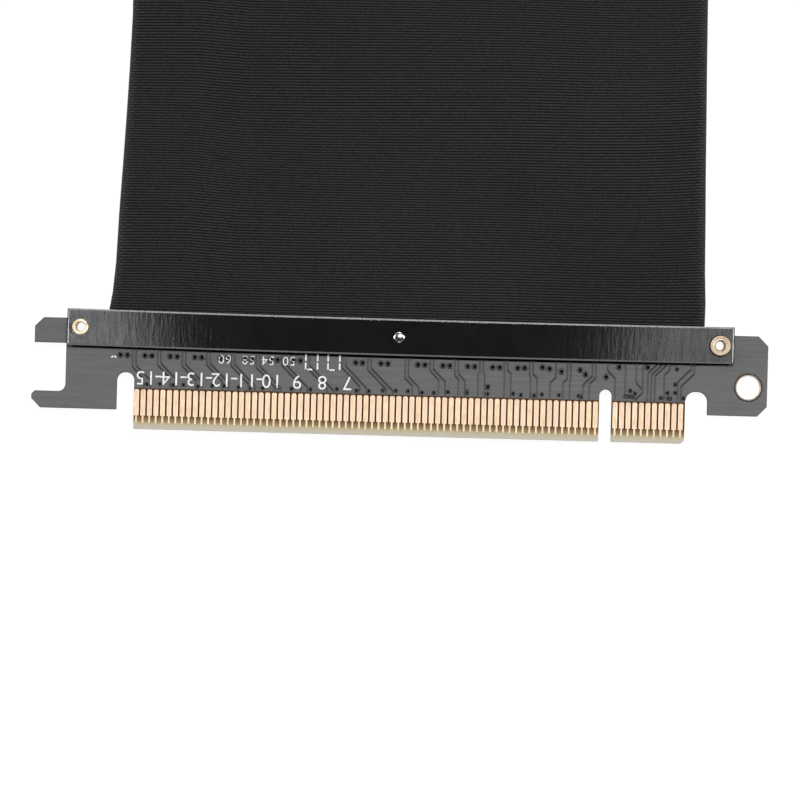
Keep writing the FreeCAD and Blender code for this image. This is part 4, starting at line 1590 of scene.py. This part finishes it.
@dataclass(kw_only=True)
class SlotBoard(Board):
    """The board and slot at the far end."""

    printing: Print
    end: str = "socket"
    rim_width: float = 0.10
    via_radius: float = 0.42
    via_rise: float = 0.12
    housing_easing: float = 0.05
    pad_width: float = 0.62
    pad_length: float = 1.5
    toe: float = 0.45
    lanes: int = 29
    lane_pitch: float = 2.9
    pair_pitch: float = 0.45

    def __post_init__(self) -> None:
        """Find the slot's outline and the clamp's edge."""
        super().__post_init__()
        self.slot_low, self.slot_high = span("slot_housing")
        self.near = span("socket_bar_front")[1].y + 0.15

    def make_traces(self) -> None:
        """Raise the buried traces and their vias between the clamp and the slot."""
        paths, spots = [], []
        for lane in range(self.lanes):
            x = self.slot_low.x + 2.2 + self.lane_pitch * lane
            lean = (0.9, -0.7, 0.0, 0.5)[lane % 4]
            turn = self.near + (1.3, 2.1, 2.8)[lane % 3]
            for start in (x, x + self.pair_pitch):
                paths.append([(start, self.near), (start, turn),
                              (start + lean, turn + abs(lean)),
                              (start + lean, self.slot_low.y + 0.2)])
            spots += [(x + 1.5, self.near + 0.9), (x + 2.2, self.near + 0.9)]
        for side, level, over in self.sides:
            own(settle(f"socket_traces_{side}",
                       self.traces(paths, level, self.finishes.trace),
                       self.vias([(*spot, level) for spot in spots], over)), "solder_mask")

    @staticmethod
    def middles(node: Piece) -> list[float]:
        """Find the middle X of each contact in a row.

        Args:
            node: The row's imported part.

        Returns:
            The middles in millimetres, in order.
        """
        places = sorted(corner.co.x / MM for corner in node.data.vertices)
        groups = [[places[0]]]
        for before, x in zip(places, places[1:]):
            if x - before > 0.2:
                groups.append([])
            groups[-1].append(x)
        return [(group[0] + group[-1]) / 2 for group in groups]

    def make_contacts(self) -> None:
        """Gild the springs, and lay a tinned pad under each one's foot."""
        half = Vector((self.pad_width, self.pad_length)) / 2
        pad = block("pad", (-half.x, -half.y, -0.03), (half.x, half.y, 0.035))
        places = []
        for name in ("slot_contacts_front", "slot_contacts_back"):
            dress(self.nodes[name], self.finishes.gold)
            low, high = span(name)
            foot = low.y + self.toe if low.y < self.slot_low.y else high.y - self.toe
            places += [(x, foot, self.high.z) for x in self.middles(self.nodes[name])]
        own(copies(pad, places, "slot_pads"), "gold_plate", coat=self.finishes.solder)

    def make_print(self) -> None:
        """Print the slot's outline on both faces and its end numbers on the front."""
        low, high, printing = self.slot_low, self.slot_high, self.printing
        for side, level, over in self.sides:
            gap = 0.1 if over else 1.6
            parts = printing.outline(
                (low.x - 0.5, low.y - gap), (high.x + 0.5, high.y + gap),
                level - printing.thickness if over else level)
            if not over:
                parts += [printing.number(text, Vector((x, low.y - 1.9, level)), 1.3)
                          for text, x in (("1", high.x + 1.8), ("82", low.x - 1.9))]
            own(settle(f"socket_print_{side}", *parts), "solder_mask",
                coat=self.finishes.print_white)

    def run(self) -> None:
        """Make the slot board and ease the housing's edges."""
        own(self.rimmed(self.finishes.mask, self.finishes.edge), "solder_mask",
            "socket_board")
        self.make_traces()
        self.make_contacts()
        self.make_print()
        piece = eased_copy(self.nodes["slot_housing"], "slot_housing_moulding",
                           self.housing_easing)
        own(piece, "slot_plastic", "slot_housing", coat=self.finishes.slot)


# ------------------------------------------------------------------ studio

@dataclass
class Studio:
    """Floor, lamps and camera."""

    target: Vector
    distance: float = 1.0
    frame_width: float = 0.122
    sensor: float = 36.0
    roll: float = 1.56
    floor_glow: float = 0.94
    floor_tint: Tint = grey(0.9)
    floor_shade: Tint = grey(0.12)

    def floor(self) -> None:
        """Lay the pale floor, white to the camera with the object's faint shadow."""
        deselect()
        bpy.ops.mesh.primitive_plane_add(size=12.0, location=(0, 0, -0.0002))
        plane = bpy.context.active_object
        plane.name = "floor"
        material = bpy.data.materials.new("floor_white")
        material.use_nodes = True
        bench = Bench(material.node_tree)
        bench.tree.nodes.clear()
        path = bench.add("LightPath").outputs
        seen = bench.calc("MAXIMUM", path["Is Camera Ray"], bench.calc(
            "MAXIMUM", path["Is Glossy Ray"], path["Is Transmission Ray"]))
        cloth = bench.add("BsdfDiffuse", {"Color": (*self.floor_tint, 1.0)})
        glow = bench.add("Emission", {"Color": (1, 1, 1, 1), "Strength": self.floor_glow})
        under = bench.add("BsdfDiffuse", {"Color": (*self.floor_shade, 1.0)})
        lit = bench.add("AddShader", {0: glow.outputs[0], 1: under.outputs[0]})
        mixed = bench.add("MixShader", {0: seen, 1: cloth.outputs[0], 2: lit.outputs[0]})
        bench.add("OutputMaterial", {"Surface": mixed.outputs[0]})
        plane.data.materials.append(material)

    def sky(self) -> None:
        """Make a pale room that darkens overhead, and is white where the camera sees it."""
        world = bpy.data.worlds.new("room")
        bpy.context.scene.world = world
        world.use_nodes = True
        bench = Bench(world.node_tree)
        bench.tree.nodes.clear()
        way = bench.axes(bench.add("TexCoord").outputs["Generated"])
        glow = bench.times(bench.spread(way[2], 0.25, 0.95, 0.36, 0.03),
                           bench.spread(way[1], -0.5, 0.5, 0.35, 1.0))
        seen = bench.add("LightPath").outputs["Is Camera Ray"]
        back = bench.add("Background", {"Color": (1, 1, 1, 1),
                                        "Strength": bench.calc("MAXIMUM", seen, glow)})
        bench.add("OutputWorld", {"Surface": back.outputs[0]})

    def lamp(self, name: str, offset: Point | Sequence[float], aim: Vector | None,
             size: Point, radiance: float) -> None:
        """Hang one soft panel that the camera doesn't see.

        Args:
            name: Name of the lamp.
            offset: Where it hangs from the target, in metres.
            aim: The point that it faces, or None for straight down.
            size: Width and height in metres.
            radiance: Brightness of its face.
        """
        place = self.target + Vector(offset)
        way = Vector((0, 0, -1)) if aim is None else aim - place
        bpy.ops.object.light_add(type="AREA", location=place)
        lamp = bpy.context.active_object
        lamp.name = name
        lamp.data.shape = "RECTANGLE"
        lamp.data.size, lamp.data.size_y = size
        lamp.data.energy = radiance * size[0] * size[1] * math.pi
        lamp.rotation_euler = way.to_track_quat("-Z", "Y").to_euler()
        lamp.visible_camera = False

    def lamps(self) -> None:
        """Hang a key towards the cable, a panel over each end and four low strips."""
        self.lamp("key", (0.06, 0.235, 1.1), self.target, (0.20, 0.14), 88.0)
        for name, x, radiance in (("panel_left", -0.228, 3.5), ("panel_right", 0.220, 2.4)):
            self.lamp(name, (x, 0.04, 1.0), None, (0.30, 0.30), radiance)
        aim = self.target + Vector((0, 0, 0.15))
        for name, x, y, radiance in (("strip_far", 0, 0.95, 6.5),
                                     ("strip_near", 0, -0.95, 2.6),
                                     ("strip_left", -0.95, 0, 24.0),
                                     ("strip_right", 0.95, 0, 24.0)):
            self.lamp(name, (x, y, 0.15), aim, (0.45, 0.2), radiance)

    def camera(self) -> None:
        """Set the camera straight above the plug end."""
        bpy.ops.object.camera_add(location=self.target + Vector((0, 0, self.distance)))
        camera = bpy.context.active_object
        camera.name = "camera"
        camera.rotation_euler = (0.0, 0.0, math.radians(self.roll))
        camera.data.sensor_width = self.sensor
        camera.data.lens = self.sensor * self.distance / self.frame_width
        camera.data.clip_start, camera.data.clip_end = 0.05, 30.0
        bpy.context.scene.camera = camera
        bpy.context.scene.view_settings.view_transform = "Standard"

    def run(self) -> None:
        """Set the whole studio."""
        self.camera()
        self.floor()
        self.sky()
        self.lamps()


def main() -> None:
    """Build the riser cable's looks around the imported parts."""
    logging.basicConfig(level=logging.INFO, format="%(message)s")
    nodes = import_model()["nodes"]
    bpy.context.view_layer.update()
    board_low, board_high = span("plug_board")
    row_low, row_high = span("plug_contacts_front")
    key = row_high.x - KEY_TO_ROW_END
    Studio(Vector((key - 31.33, board_low.y + 5.52, board_high.z)) * MM).run()
    tongue = TongueFinish(left=row_low.x - 0.3, right=row_high.x + 0.3, edge=board_low.y)
    finishes = Finishes.build(tongue, key)
    board = PlugBoard(nodes=nodes, finishes=finishes, key=key)
    board.run()
    printing = Print(finishes)
    printing.on_plug(board)
    Clamps(nodes, finishes).run()
    Cable(nodes, finishes).run()
    SlotBoard(nodes=nodes, finishes=finishes, printing=printing).run()


if __name__ == "__main__":
    main()
